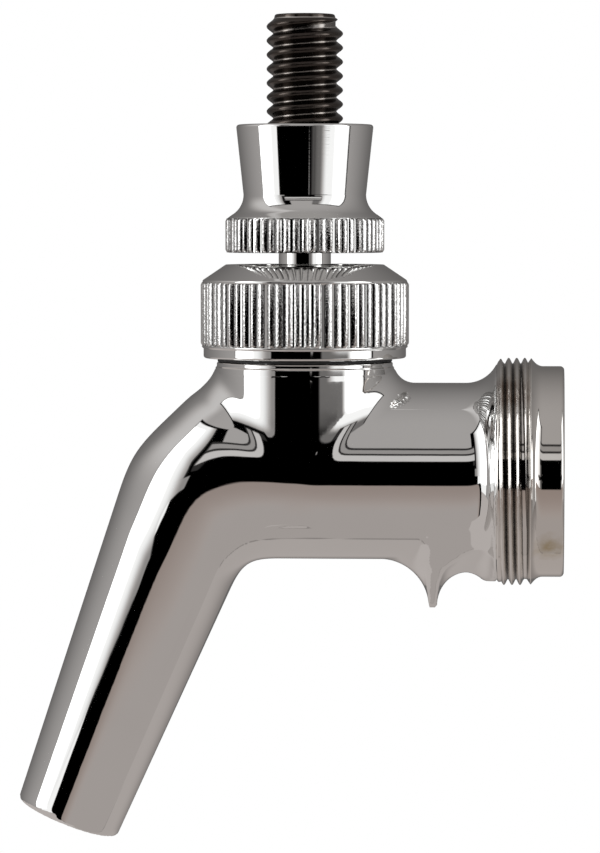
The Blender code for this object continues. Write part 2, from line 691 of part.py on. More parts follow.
def make_valve():
    # Valve shaft turned about X, with lengths measured back from the lever axis
    profile = [
        (0.0, GUIDE_REAR),
        (GUIDE_RADIUS, GUIDE_REAR),
        (GUIDE_RADIUS, GUIDE_FRONT),
        (CORE_RADIUS, GUIDE_FRONT),
        (CORE_RADIUS, BLOCK_REAR),
        (GUIDE_RADIUS, BLOCK_REAR),
        (GUIDE_RADIUS, -BLOCK_FRONT),
        (BACKING_RADIUS, -BLOCK_FRONT),
        (BACKING_RADIUS, SPIGOT_REAR),
        (VALVE_SPIGOT_RADIUS, SPIGOT_REAR),
        (VALVE_SPIGOT_RADIUS, SPIGOT_FRONT),
        (STUB_RADIUS, SPIGOT_FRONT),
        (STUB_RADIUS, NUT_FRONT + SEAT_GAP),
        (0.0, NUT_FRONT + SEAT_GAP),
    ]
    shaft = turned("valve_shaft", profile, SMALL_SIDES, PARTS, closed=False)
    shaft.rotation_euler = (0.0, math.pi / 2, 0.0)
    settle(shaft, FAUCET, LEVER_AXIS, TURNED_STEEL)

    # Milled flat and cross hole that take the lever finger
    flat_front = -REAR_TO_LEVER + (SPIGOT_REAR - BLOCK_FRONT) / 2
    flat_rear = -REAR_TO_LEVER + GUIDE_FRONT - FLAT_END
    flat_low = (flat_front, -BORE_RADIUS, BLOCK_FLAT)
    flat = box("milled_flat", flat_low, (flat_rear, BORE_RADIUS, BORE_RADIUS), CUTTERS)
    combine(shaft, flat, "DIFFERENCE")
    slot_profile = [
        (0.0, BORE_RADIUS),
        (SLOT_RADIUS, BORE_RADIUS),
        (SLOT_RADIUS, -BORE_RADIUS - BLOCK_FLAT),
        (0.0, -BORE_RADIUS - BLOCK_FLAT),
    ]
    slot = turned("finger_slot", slot_profile, SMALL_SIDES, CUTTERS, closed=False)
    slot.location = LEVER_AXIS * MM
    combine(shaft, slot, "DIFFERENCE")

    # Flutes that let the beer past the rear guide
    for i in range(FLUTE_COUNT):
        angle = math.tau * i / FLUTE_COUNT + math.pi / 2
        flute_profile = [
            (0.0, GUIDE_REAR + FLAT_END),
            (FLUTE_RADIUS, GUIDE_REAR + FLAT_END),
            (FLUTE_RADIUS, GUIDE_FRONT - FLAT_END),
            (0.0, GUIDE_FRONT - FLAT_END),
        ]
        flute = turned("flute_" + str(i), flute_profile, SMALL_SIDES, CUTTERS, closed=False)
        flute.rotation_euler = (0.0, math.pi / 2, 0.0)
        flute.location = (LEVER_AXIS + np.array([0.0, math.cos(angle), math.sin(angle)]) * BORE_RADIUS) * MM
        combine(shaft, flute, "DIFFERENCE")

    seal_ring = seal("valve_o_ring", VALVE_SEAL_CIRCLE, VALVE_SEAL_RADIUS, SEAT_FRONT, SMALL_SIDES)
    seal_ring.rotation_euler = (0.0, math.pi / 2, 0.0)
    settle(seal_ring, FAUCET, LEVER_AXIS, BLACK_RUBBER)

    nut = ring("shaft_nut", STUB_RADIUS + SEAT_GAP, NUT_RADIUS, NUT_FRONT, NUT_FRONT + NUT_LENGTH, NUT_SIDES)
    nut.rotation_euler = (0.0, math.pi / 2, 0.0)
    settle(nut, FAUCET, LEVER_AXIS, TURNED_STEEL)


def make_coupling_washer():
    floor = -SOCKET_DEPTH + THREAD_GAP
    outer = SOCKET_RADIUS - WASHER_STEP
    top = floor + WASHER_THICKNESS
    washer = ring("coupling_washer", outer - WASHER_WIDTH, outer, floor, top, BORE_SIDES)
    washer.rotation_euler = (0.0, math.pi / 2, 0.0)
    settle(washer, FAUCET, np.zeros(3), BLACK_RUBBER)


clear_scene()
PARTS = new_collection("beer_faucet")
CUTTERS = new_collection("cutters")
FAUCET = new_empty("faucet_frame", np.zeros(3))
LEVER_PIVOT = new_empty("lever_pivot", PIVOT_POINT, FAUCET)
CARRIER_POINTS = {"faucet_frame": np.zeros(3), "lever_pivot": PIVOT_POINT}

make_body()
make_bonnet()
make_ball_stack()
make_lever()
make_collar()
make_valve()
make_coupling_washer()
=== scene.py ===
# %% [markdown]
# # A polished beer faucet
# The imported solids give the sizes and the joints. This script gives the faucet the surfaces that the
# photograph shows: a mirror-polished casting, two knurled turnings, a black threaded stud and a threaded
# coupling. The pieces are written in millimetres and scaled once, when a mesh is made.

# %% Frame
import math

import bpy
import numpy as np
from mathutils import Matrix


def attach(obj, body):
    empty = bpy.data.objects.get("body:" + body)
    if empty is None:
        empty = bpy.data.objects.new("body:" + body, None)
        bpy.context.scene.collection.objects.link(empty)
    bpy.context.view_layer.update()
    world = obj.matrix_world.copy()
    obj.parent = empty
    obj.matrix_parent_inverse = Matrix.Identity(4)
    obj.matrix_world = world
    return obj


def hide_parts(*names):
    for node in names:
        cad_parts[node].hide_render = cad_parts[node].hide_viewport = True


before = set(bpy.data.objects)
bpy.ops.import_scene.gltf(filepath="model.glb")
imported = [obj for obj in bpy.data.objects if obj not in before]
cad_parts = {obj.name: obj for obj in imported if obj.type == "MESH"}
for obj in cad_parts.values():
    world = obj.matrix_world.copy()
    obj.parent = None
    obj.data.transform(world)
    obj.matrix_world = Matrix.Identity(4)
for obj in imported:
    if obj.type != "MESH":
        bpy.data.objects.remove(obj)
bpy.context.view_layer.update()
MM = 0.001
# The lever stands upright on the barrel at LEVER_X, and its ball has its centre at PIVOT_Z
LEVER_X = -32.3
PIVOT_Z = 12.5
LEVER_FOOT = (LEVER_X, 0.0, 0.0)
REAR_CENTRE = (0.0, 0.0, 0.0)

# %% [markdown]
# ## Small tools
# One function adds a node to any node tree, with its settings and its links. Another turns a colour that is
# written as on a screen into the linear values that a shader takes.

# %% Nodes and colours
def add(tree, kind, links=None, **settings):
    node = tree.nodes.new(kind)
    for key, value in settings.items():
        setattr(node, key, value)
    for key, value in (links or {}).items():
        if isinstance(value, bpy.types.NodeSocket):
            tree.links.new(value, node.inputs[key])
        else:
            node.inputs[key].default_value = value
    return node


def linear(hex_colour):
    channels = [int(hex_colour[i:i + 2], 16) / 255 for i in (1, 3, 5)]
    return [c / 12.92 if c <= 0.04045 else ((c + 0.055) / 1.055) ** 2.4 for c in channels] + [1.0]


print("middle grey in linear light", round(linear("#808080")[0], 4))

# %% [markdown]
# A piece is a mesh that rides on a body of the frame. It may stand for one of the plain solids. Its normals
# are given corner by corner, because a mirror finish shows the smallest fault in a normal.

# %% Pieces
def settle(item, body, nodes):
    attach(item, body)
    if nodes:
        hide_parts(*nodes)
    print(item.name, len(item.data.polygons), "faces on", body)


def piece(name, points, faces, material, body, nodes, corner_normals):
    mesh = bpy.data.meshes.new(name)
    mesh.from_pydata((np.asarray(points) * MM).tolist(), [], [list(map(int, f)) for f in faces])
    mesh.shade_smooth()
    mesh.normals_split_custom_set(np.asarray(corner_normals).tolist())
    mesh.materials.append(material)
    item = bpy.data.objects.new(name, mesh)
    bpy.context.scene.collection.objects.link(item)
    settle(item, body, nodes)

# %% [markdown]
# Most of the faucet comes off a lathe. A Screw modifier could turn a profile too, but it would leave the
# normals to be guessed from the facets. Here every face corner gets the exact normal of the turned surface.

# %% Turning
ALMOST_STRAIGHT = -0.9999
CREASE = math.radians(40.0)
# A turned outline stays this far from its axis, so that no face collapses there
PINHOLE = 0.02


def rounded(corners, steps=6):
    # Closed outline of (radius, height, fillet) corners with each corner turned into an arc
    outline = []
    count = len(corners)
    for i, (r, h, fillet) in enumerate(corners):
        here = np.array([r, h])
        before = np.array(corners[i - 1][:2]) - here
        after = np.array(corners[(i + 1) % count][:2]) - here
        before /= np.linalg.norm(before)
        after /= np.linalg.norm(after)
        if fillet <= 0.0 or before @ after < ALMOST_STRAIGHT:
            outline.append(here)
            continue
        half = math.acos(np.clip(before @ after, -1.0, 1.0)) / 2
        middle = (before + after) / np.linalg.norm(before + after)
        centre = here + middle * fillet / math.sin(half)
        start = here + before * fillet / math.tan(half) - centre
        end = here + after * fillet / math.tan(half) - centre
        for share in np.linspace(0.0, 1.0, steps + 1):
            spoke = start * (1.0 - share) + end * share
            outline.append(centre + spoke / np.linalg.norm(spoke) * fillet)
    return np.array(outline)


def turned(outline, sides, place, axis):
    # Turn a closed outline; the answer is points, faces and one exact normal for each face corner
    outline = np.asarray(outline, float)
    r, h = outline.T
    if np.sum(r * np.roll(h, -1) - np.roll(r, -1) * h) < 0.0:
        outline = outline[::-1]
    ahead = np.roll(outline, -1, 0) - outline
    length = np.linalg.norm(ahead, axis=1)
    facing = np.stack([ahead[:, 1], -ahead[:, 0]], 1) / length[:, None]
    behind = np.roll(facing, 1, 0)
    mixed = facing * length[:, None] + behind * np.roll(length, 1)[:, None]
    mixed /= np.linalg.norm(mixed, axis=1)[:, None]
    soft = (np.sum(facing * behind, 1) > math.cos(CREASE))[:, None]
    leaving = np.where(soft, mixed, facing)
    arriving = np.where(soft, mixed, behind)
    angle = np.arange(sides) * math.tau / sides
    count = len(outline)

    def spin(flat):
        ring = np.stack([
            flat[:, 0][:, None] * np.cos(angle), flat[:, 0][:, None] * np.sin(angle),
            np.repeat(flat[:, 1][:, None], sides, 1)], 2)
        return ring[:, :, [2, 0, 1]] if axis == "x" else ring

    points = spin(outline).reshape(-1, 3) + np.array(place)
    i, k = [a.ravel() for a in np.meshgrid(np.arange(count), np.arange(sides), indexing="ij")]
    j = (i + 1) % count
    m = (k + 1) % sides
    faces = np.stack([i * sides + k, i * sides + m, j * sides + m, j * sides + k], 1)
    out = spin(leaving)
    into = spin(arriving)
    normals = np.stack([out[i, k], out[i, m], into[j, m], into[j, k]], 1).reshape(-1, 3)
    return points, faces, normals


def turning(name, outline, sides, material, body, nodes=(),
            place=LEVER_FOOT, axis="z"):
    points, faces, normals = turned(outline, sides, place, axis)
    piece(name, points, faces, material, body, nodes, normals)


square = rounded([(1.0, 0.0, 0.0), (2.0, 0.0, 0.3), (2.0, 1.0, 0.0), (1.0, 1.0, 0.0)])
print("a square with one rounded corner has", len(square), "points")

# %% [markdown]
# ## Finishes
# The metal is polished until it mirrors the room, so its look comes from what stands round it. A real polish
# is not perfect: it keeps a faint haze that changes from place to place, and fine marks from the wheel.
# Noise in object space, scaled from a size in millimetres, drives the roughness and a very small bump.

# %% Finish function
AXES = {
    "lever": ((1.0, 1.0, 0.0), (LEVER_X * MM, 0.0, 0.0)),
    "barrel": ((0.0, 1.0, 1.0), (0.0, 0.0, 0.0))}
# Patches of haze are about 11 mm across, and stains break up at about 1.4 mm
HAZE_SCALE = 90.0
BLOT_SCALE = 700.0
HAZE_SHADE = 0.94


def spot_share(tree, where, centre, reach):
    # Share of a stain at each point: strongest at its centre and broken up by noise
    blot = add(tree, "ShaderNodeTexNoise", {"Vector": where, "Scale": BLOT_SCALE, "Detail": 4.0})
    away = add(tree, "ShaderNodeVectorMath", {0: where, 1: np.array(centre) * MM}, operation="DISTANCE")
    near = add(tree, "ShaderNodeMapRange", {
        "Value": away.outputs["Value"], "From Min": reach * MM, "From Max": 0.0})
    both = add(tree, "ShaderNodeMath", {0: blot.outputs["Fac"], 1: near.outputs[0]}, operation="MULTIPLY")
    share = add(tree, "ShaderNodeMapRange", {
        "Value": both.outputs[0], "From Min": 0.12, "From Max": 0.75})
    return share.outputs[0]


def ring_share(tree, where, radius, reach, axis):
    # Share of a ring at each point: full at the radius from the axis and gone at the reach to either side
    keep, centre = AXES[axis]
    flat = add(tree, "ShaderNodeVectorMath", {0: where, 1: keep}, operation="MULTIPLY")
    away = add(tree, "ShaderNodeVectorMath", {0: flat.outputs[0], 1: centre}, operation="DISTANCE")
    off = add(tree, "ShaderNodeMath", {0: away.outputs["Value"], 1: radius * MM}, operation="SUBTRACT")
    off = add(tree, "ShaderNodeMath", {0: off.outputs[0]}, operation="ABSOLUTE")
    share = add(tree, "ShaderNodeMapRange", {
        "Value": off.outputs[0], "From Min": reach * MM, "From Max": 0.0})
    return share.outputs[0]


def finish(name, colour, metallic, roughness, haze, grain, bump,
           stretch=(1.0, 1.0, 1.0), spots=(), ring=None):
    # A metal or plastic whose roughness drifts by haze. Grain and bump are sizes in millimetres. A spot is
    # a colour, a centre and a reach. A ring is a colour, a radius, a reach and the axis that it goes round.
    material = bpy.data.materials.new(name)
    material.use_nodes = True
    tree = material.node_tree
    shader = tree.nodes["Principled BSDF"]
    where = add(tree, "ShaderNodeTexCoord").outputs["Object"]
    drift = add(tree, "ShaderNodeTexNoise", {
        "Vector": where, "Scale": HAZE_SCALE, "Detail": 3.0}).outputs["Fac"]
    level = add(tree, "ShaderNodeMapRange", {
        "Value": drift, "From Min": 0.3, "From Max": 0.7,
        "To Min": max(roughness - haze, 0.0), "To Max": roughness + haze})
    drawn = add(tree, "ShaderNodeVectorMath", {0: where, 1: stretch}, operation="MULTIPLY")
    fine = add(tree, "ShaderNodeTexNoise", {
        "Vector": drawn.outputs[0], "Scale": 1000.0 / grain, "Detail": 2.0})
    relief = add(tree, "ShaderNodeBump", {"Height": fine.outputs["Fac"], "Distance": bump * MM})
    tint = linear(colour)
    layers = [([c * HAZE_SHADE for c in tint[:3]] + [1.0], drift)]
    for spot_colour, centre, reach in spots:
        layers.append((linear(spot_colour), spot_share(tree, where, centre, reach)))
    if ring:
        ring_colour, radius, reach, axis = ring
        layers.append((linear(ring_colour), ring_share(tree, where, radius, reach, axis)))
    for layer, share in layers:
        tint = add(tree, "ShaderNodeMix", {0: share, 6: tint, 7: layer}, data_type="RGBA").outputs[2]
    tree.links.new(tint, shader.inputs["Base Color"])
    tree.links.new(level.outputs["Result"], shader.inputs["Roughness"])
    tree.links.new(relief.outputs["Normal"], shader.inputs["Normal"])
    shader.inputs["Metallic"].default_value = metallic
    print("finish", name)
    return material

# %% [markdown]
# The steel has one colour, and what was done to it sets the pieces apart. Painted shade darkens the grooves
# of the knurls and the roots of the coupling's thread, and a stain or two is left on the coupling.

# %% Steel, plastic and rubber
STEEL = "#eeeeed"
WORN_STEEL = "#eae7e3"
# Near-black painted shade for the grooves of the knurls
GROOVE_SHADE = "#0c0c0d"
BONNET_RADIUS = 12.62
COLLAR_RADIUS = 9.62
STUD_CORE = 3.92
THREAD_GROOVE = 13.38
LATHE = (0.1, 0.1, 1.0)
STAINS = [("#7c5636", (-7.0, -8.6, 10.2), 4.4), ("#b09a62", (-1.7, -9.7, -8.6), 3.4)]
KNURL = {"colour": STEEL, "metallic": 1.0, "roughness": 0.12, "haze": 0.05, "grain": 0.22, "bump": 0.045}

# Buffed casting: clear reflections that wander a little, as hand polishing leaves them
POLISHED = finish("mirror_polished_steel", STEEL, 1.0, 0.035, 0.012, 7.0, 0.012)
# Fine turning: clear reflections with faint rings
SATIN = finish("fine_turned_steel", STEEL, 1.0, 0.05, 0.02, 0.25, 0.0015, LATHE)
# Pressed ridges: broken glints over grooves darkened by a ring of painted shade
KNURLED = finish("polished_knurl_steel", ring=(GROOVE_SHADE, BONNET_RADIUS, 0.22, "lever"), **KNURL)
GRIPPED = finish("polished_collar_knurl_steel", ring=(GROOVE_SHADE, COLLAR_RADIUS, 0.2, "lever"), **KNURL)
# Polished coupling with brown and straw-coloured stains
STAINED = finish("polished_coupling_steel", WORN_STEEL, 1.0, 0.05, 0.02, 7.0, 0.012, spots=STAINS)
# Worn thread: bright crests, and roots darkened by a ring of painted shade
THREADED = finish("worn_thread_steel", WORN_STEEL, 1.0, 0.08, 0.03, 0.9, 0.03, spots=STAINS,
                  ring=("#241f1c", THREAD_GROOVE, 0.3, "barrel"))
# Black oxide: a dark, slightly brown gloss, with a painted highlight: a pale line at the roots of the thread
# that shows as glints
BLACKENED = finish("black_oxide_steel", "#4a4440", 1.0, 0.2, 0.06, 0.3, 0.03, (0.15, 0.15, 1.0),
                   ring=("#e4e0dc", STUD_CORE, 0.12, "lever"))
# Plain turning, a machined plastic and a moulded rubber, all of them duller than the outside
TURNED = finish("turned_steel", "#c8c6c3", 1.0, 0.22, 0.06, 0.2, 0.002)
ACETAL = finish("machined_acetal", "#ebe9e2", 0.0, 0.42, 0.06, 0.3, 0.004)
RUBBER = finish("moulded_rubber", "#1b1b1c", 0.0, 0.6, 0.08, 0.2, 0.01)

# %% [markdown]
# ## The casting
# The body is cast in one piece and polished by hand, so its spout, barrel, neck, flare and drip point run
# into each other in soft fillets. Booleans with bevels could join plain shapes, but their seams would show in
# a mirror finish. Here a formula gives a signed distance to the blended surface, and its slope gives the
# normals, so the reflections run on from one form to the next.

# %% Blends
def join(a, b, k):
    # Union of two distances with a round fillet of radius k
    k = np.maximum(k, 1e-6)
    return np.maximum(k, np.minimum(a, b)) - np.hypot(np.maximum(k - a, 0.0), np.maximum(k - b, 0.0))


def common(a, b, k):
    # Part that two shapes share, with a round edge of radius k
    return np.minimum(-k, np.maximum(a, b)) + np.hypot(np.maximum(k + a, 0.0), np.maximum(k + b, 0.0))


def later(a, b, k):
    # Larger of two heights, eased over a band k wide, which keeps the curvature even
    ease = np.maximum(k - np.abs(a - b), 0.0) / k
    return np.maximum(a, b) + ease ** 3 * k / 6.0


print("two faces 1 mm away, joined with a fillet of 2 mm:", round(float(join(1.0, 1.0, 2.0)), 3), "mm")

# %% [markdown]
# The pipe is drawn from its side view. Straight lines bound it above, at the shoulder, in front and below.
# The slanted ones are given by their normal and their distance from the origin. The lines are eased into
# each other at the bend.

# %% Spout and barrel
BARREL_RADIUS = 11.0
SPOUT_RADIUS = 9.27
SPOUT_TAPER = 0.0678
CORNER = np.array([-45.1, 0.0])
SHOULDER_LINE = (-0.6925, 0.7214, 38.99)
FRONT_LINE = (-0.9496, 0.3134, 51.93)
UNDER_LINE = (-0.9088, 0.4173, 31.63)
SHOULDER_EASE = 3.0
FRONT_EASE = 2.8
UNDER_EASE = 4.4
BEND_X = 0.826
BEND_Z = 0.563
BEND_LENGTH = 22.0


def past(line, x, z):
    return line[0] * x + line[1] * z - line[2]


def spout_and_barrel(x, y, z):
    # The side view gives an outer and an inner line, and an oval section fills the space between them
    top = later(z - BARREL_RADIUS, past(SHOULDER_LINE, x, z), SHOULDER_EASE)
    outer = later(top, past(FRONT_LINE, x, z), FRONT_EASE)
    inner = -later(z + BARREL_RADIUS, past(UNDER_LINE, x, z), UNDER_EASE)
    middle = (outer - inner) / 2
    tall = np.maximum(-(outer + inner) / 2, 1.0)
    station = BEND_X * (x - CORNER[0]) + BEND_Z * (z - CORNER[1])
    share = np.clip(station / BEND_LENGTH + 0.5, 0.0, 1.0)
    spout = SPOUT_RADIUS + SPOUT_TAPER * np.minimum(station, 0.0)
    wide = spout + (BARREL_RADIUS - spout) * share * share * (3.0 - 2.0 * share)
    return np.hypot(middle * wide / tall, y) - wide


print("signed distance on top of the barrel", round(float(spout_and_barrel(-20.0, 0.0, BARREL_RADIUS)), 3))

# %% [markdown]
# The drip point is a small horn under the barrel. It is drawn as a keel whose depth grows towards the horn,
# so that it grows out of the round barrel without an edge.

# %% Drip point
DRIP_FRONT = -16.8
DRIP_BACK = -15.8
DRIP_LOW = 17.55
DRIP_HOLLOW = 6.5
DRIP_FILLET = 3.6
KEEL_ROUND = 0.12
SADDLE_DEPTH = 12.85
SADDLE_DROP = 0.75
SADDLE_START = -12.6
SADDLE_LENGTH = 4.2
LEAN = 0.43
LEAN_START = -11.7
EDGE = 0.5


def keel(y, z, low):
    # Barrel whose underside is drawn down to a keel at the depth low
    spread = np.arccos(np.clip(BARREL_RADIUS / low, -1.0, 1.0))
    around = np.arctan2(np.sqrt(y * y + KEEL_ROUND), -z)
    return np.hypot(y, z) * np.cos(np.clip(spread - around, 0.0, 1.5)) - BARREL_RADIUS


def drip_point(x, y, z):
    # The front of the horn sweeps down from the barrel, and a leaning face cuts its back
    run = np.clip(x - DRIP_FRONT + DRIP_HOLLOW, 0.0, DRIP_HOLLOW)
    sweep = BARREL_RADIUS + DRIP_HOLLOW - np.sqrt(DRIP_HOLLOW ** 2 - run ** 2)
    front = np.minimum(sweep, DRIP_LOW + 0.1)
    saddle = SADDLE_DEPTH + SADDLE_DROP * np.clip((x - SADDLE_START) / SADDLE_LENGTH, 0.0, 1.0) ** 2
    rise = z - LEAN_START
    lean = LEAN * (rise + np.sqrt(rise * rise + 1.0))
    steep = LEAN + LEAN * rise / np.sqrt(rise * rise + 1.0)
    back = (x - DRIP_BACK - lean) / np.hypot(1.0, steep)
    rear = join(back, keel(y, z, saddle), DRIP_FILLET)
    return common(np.maximum(keel(y, z, front), rear), -z - DRIP_LOW, EDGE)


print("signed distance at the tip of the horn", round(float(drip_point(DRIP_FRONT, 0.0, -DRIP_LOW)), 3))

# %% [markdown]
# The whole casting joins the pipe, the horn, the flare and the neck, and then takes the hollows away. The
# chamber inside is never seen, so it is simpler than the one in the solid.

# %% Whole casting
TILT = math.radians(21.4)
DOWN = np.array([-math.sin(TILT), -math.cos(TILT)])
SPOUT_LENGTH = 46.95
WALL = 1.85
NECK_RADIUS = 11.1
NECK_TOP = 12.95
NECK_FILLET = 2.3
LEAST_FILLET = 0.3
NECK_REACH = 16.0
NECK_DEPTH = 6.0
FOOT_HEIGHT = 4.0
FOOT_TUCK = 0.3
SPIGOT_RADIUS = 9.9
SPIGOT_TOP = 19.0
HORN_START = -25.0
FLARE_START = -13.0
FLARE_END = -8.37
FLARE_RADIUS = 4.2
FLARE_PLANE = -8.0
CASTING_END = -7.03
PLUG_RADIUS = 13.4
LIP_RADIUS = 13.7
LIP_EDGE = 0.2
INNER_EDGE = 0.35
WATERWAY_END = -38.0
BORE_START = -38.5
BORE_RADIUS = 6.2
CHAMBER_RADIUS = 8.2
CHAMBER_FLOOR = 7.2
PASSAGE_RADIUS = 4.4


def casting(p):
    x, y, z = p[..., 0], p[..., 1], p[..., 2]
    across = np.hypot(y, z)
    from_axis = np.hypot(x - LEVER_X, y)
    pipe = spout_and_barrel(x, y, z)
    solid = np.where(x > HORN_START, join(drip_point(x, y, z), FLARE_PLANE - x, FLARE_RADIUS), pipe)
    solid = np.where(x > FLARE_START, common(solid, across - LIP_RADIUS, LIP_EDGE), solid)
    foot = np.clip((FOOT_HEIGHT - z) / FOOT_HEIGHT, 0.0, 3.0)
    neck = np.maximum(from_axis - NECK_RADIUS + FOOT_TUCK * foot ** 2, -z - NECK_DEPTH)
    agree = np.clip(y * y / np.maximum(from_axis * across, 1e-6), 0.0, 1.0)
    solid = join(solid, neck, LEAST_FILLET + NECK_FILLET * (1.0 - agree))
    solid = np.where(from_axis < NECK_REACH, common(solid, z - NECK_TOP, EDGE), solid)
    spigot = np.maximum(np.maximum(from_axis - SPIGOT_RADIUS, z - SPIGOT_TOP), -z)
    solid = np.minimum(solid, spigot)
    rear = np.maximum(x - CASTING_END, np.minimum(x - FLARE_END, across - PLUG_RADIUS))
    solid = np.maximum(solid, rear)
    beyond = (x - CORNER[0]) * DOWN[0] + z * DOWN[1] - SPOUT_LENGTH
    solid = common(solid, beyond, EDGE)
    waterway = np.maximum(pipe + WALL, x - WATERWAY_END)
    bore = np.maximum(across - BORE_RADIUS, BORE_START - x)
    chamber = np.maximum(from_axis - CHAMBER_RADIUS, CHAMBER_FLOOR - z)
    passage = np.maximum(from_axis - PASSAGE_RADIUS, -z)
    hollow = np.minimum(np.minimum(waterway, bore), np.minimum(chamber, passage))
    return common(solid, -hollow, INNER_EDGE)


BEND_SIDE = np.array([CORNER[0], -BARREL_RADIUS, CORNER[1]])
print("signed distance at the side of the bend", round(float(casting(BEND_SIDE)), 3), "mm")

# %% [markdown]
# A grid of cells finds where the formula changes sign. Each cell on the surface gives one vertex, and each
# grid edge that crosses the surface gives one face. The field is worked out slab by slab to save memory.

# %% Surface of a formula
def slope(field, p, step=0.01):
    parts = []
    for axis in np.eye(3):
        parts.append((field(p + axis * step) - field(p - axis * step)) / (2.0 * step))
    return np.stack(parts, -1)


def surface(field, low, high, size):
    axes = [np.arange(a, b + size, size) for a, b in zip(low, high)]
    grid = np.stack(np.meshgrid(*axes, indexing="ij"), -1)
    value = np.concatenate([field(slab) for slab in np.array_split(grid, 16)])
    inside = value < 0.0
    cells = tuple(n - 1 for n in value.shape)
    total = np.zeros(cells + (3,))
    hits = np.zeros(cells)
    corner_steps = [np.array([i, j, k]) for i in (0, 1) for j in (0, 1) for k in (0, 1)]

    def at(array, step):
        return array[step[0]:step[0] + cells[0], step[1]:step[1] + cells[1], step[2]:step[2] + cells[2]]

    for a in corner_steps:
        for axis in range(3):
            if a[axis]:
                continue
            b = a.copy()
            b[axis] = 1
            change = at(inside, a) != at(inside, b)
            first = at(value, a)
            second = at(value, b)
            share = np.where(change, first / np.where(change, first - second, 1.0), 0.0)
            spot = a + share[..., None] * (b - a)
            total += np.where(change[..., None], spot, 0.0)
            hits += change
    used = hits > 0
    index = np.full(cells, -1)
    index[used] = np.arange(np.count_nonzero(used))
    place = np.argwhere(used) + total[used] / hits[used][:, None]
    points = place * size + np.array([a[0] for a in axes])
    faces = []
    for axis in range(3):
        u = (axis + 1) % 3
        v = (axis + 2) % 3
        near = [slice(None)] * 3
        far = [slice(None)] * 3
        near[axis] = slice(None, -1)
        far[axis] = slice(1, None)
        change = inside[tuple(near)] != inside[tuple(far)]
        spots = np.argwhere(change)
        spots = spots[(spots[:, u] > 0) & (spots[:, v] > 0)]
        spots = spots[(spots[:, u] < cells[u]) & (spots[:, v] < cells[v])]
        back = []
        for du, dv in ((-1, -1), (0, -1), (0, 0), (-1, 0)):
            cell = spots.copy()
            cell[:, u] += du
            cell[:, v] += dv
            back.append(index[tuple(cell.T)])
        quad = np.stack(back, 1)
        flip = ~inside[tuple(near)][tuple(spots.T)]
        quad[flip] = quad[flip][:, ::-1]
        faces.append(quad)
    return points, np.concatenate(faces)


ball_faces = surface(lambda p: np.linalg.norm(p, axis=-1) - 1.0, (-1.3,) * 3, (1.3,) * 3, 0.2)[1]
print("a ball of radius 1 mm on a grid of 0.2 mm has", len(ball_faces), "faces")

# %% [markdown]
# A few Newton steps pull the vertices onto the surface. Three rounds of sliding them towards their
# neighbours make the faces more even, and three rounds of averaging soften the normals at the creases.

# %% Casting
GRID_LOW = (-71.0, -14.6, -47.5)
GRID_HIGH = (-6.0, 14.6, 19.8)
GRID_SIZE = 0.4
LONGEST_MOVE = 0.25
SLIDE = 0.6
ROUNDS = 3


def pull(field, points, steps):
    for _ in range(steps):
        g = slope(field, points)
        move = field(points)[:, None] * g / np.maximum(np.sum(g * g, 1), 0.05)[:, None]
        size = np.linalg.norm(move, axis=1)[:, None]
        points = points - move * np.minimum(1.0, LONGEST_MOVE / np.maximum(size, 1e-9))
    return points


def even_out(field, points, faces, rounds):
    a = faces.ravel()
    b = np.roll(faces, -1, 1).ravel()
    for _ in range(rounds):
        total = np.zeros_like(points)
        count = np.zeros(len(points))
        for first, second in ((a, b), (b, a)):
            np.add.at(total, first, points[second])
            np.add.at(count, first, 1.0)
        g = slope(field, points)
        g /= np.linalg.norm(g, axis=1)[:, None]
        move = total / count[:, None] - points
        move -= np.sum(move * g, 1)[:, None] * g
        points = pull(field, points + move * SLIDE, 2)
    return points


def soften(normals, faces, rounds):
    # A polishing wheel rounds every crease a little, so the normals are averaged with their neighbours
    a = faces.ravel()
    b = np.roll(faces, -1, 1).ravel()
    for _ in range(rounds):
        normals = normals / np.linalg.norm(normals, axis=1)[:, None]
        total = normals * 2.0
        np.add.at(total, a, normals[b])
        np.add.at(total, b, normals[a])
        normals = total
    return normals / np.linalg.norm(normals, axis=1)[:, None]


points, faces = surface(casting, GRID_LOW, GRID_HIGH, GRID_SIZE)
points = even_out(casting, pull(casting, points, 6), faces, ROUNDS)
normals = soften(slope(casting, points), faces, ROUNDS)
piece("casting", points, faces, POLISHED, "faucet", ["faucet_body"],
      normals[faces.ravel()])
print("largest error in mm", float(np.abs(casting(points)).max()))

# %% [markdown]
# A narrow rim shows between the neck and the bonnet. Its edges are sharper than the grid could draw them, so
# it is a turning of its own.

# %% Neck rim
outline = rounded([
    (9.92, 13.6, 0.1), (10.97, 13.6, 0.22), (10.97, 13.1, 0.12), (11.14, 12.9, 0.2), (11.14, 12.2, 0.0),
    (9.92, 12.2, 0.0)])
turning("neck_rim", outline, 200, POLISHED, "faucet")

# %% [markdown]
# ## Threads
# A thread is a V-shaped ridge that climbs round a core. A Screw modifier could sweep it, but its ends would
# be cut off square. Geometry Nodes draw the helix, carry the ridge's section along it and let it fade at both
# ends. The same tree makes the thread of the stud and the thread of the coupling.

# %% Trees
SHARP_ANGLE = math.radians(35.0)


def node_tree(name, inputs):
    tree = bpy.data.node_groups.new(name, "GeometryNodeTree")
    tree.interface.new_socket("Geometry", in_out="INPUT", socket_type="NodeSocketGeometry")
    for key, kind in inputs.items():
        tree.interface.new_socket(key, in_out="INPUT", socket_type="NodeSocket" + kind)
    tree.interface.new_socket("Geometry", in_out="OUTPUT", socket_type="NodeSocketGeometry")
    return tree, add(tree, "NodeGroupInput").outputs


def end_tree(tree, made, material):
    plain = add(tree, "GeometryNodeRealizeInstances", {"Geometry": made})
    dressed = add(tree, "GeometryNodeSetMaterial", {"Geometry": plain.outputs[0], "Material": material})
    add(tree, "NodeGroupOutput", {"Geometry": dressed.outputs[0]})
    print(tree.name, len(tree.nodes), "nodes")


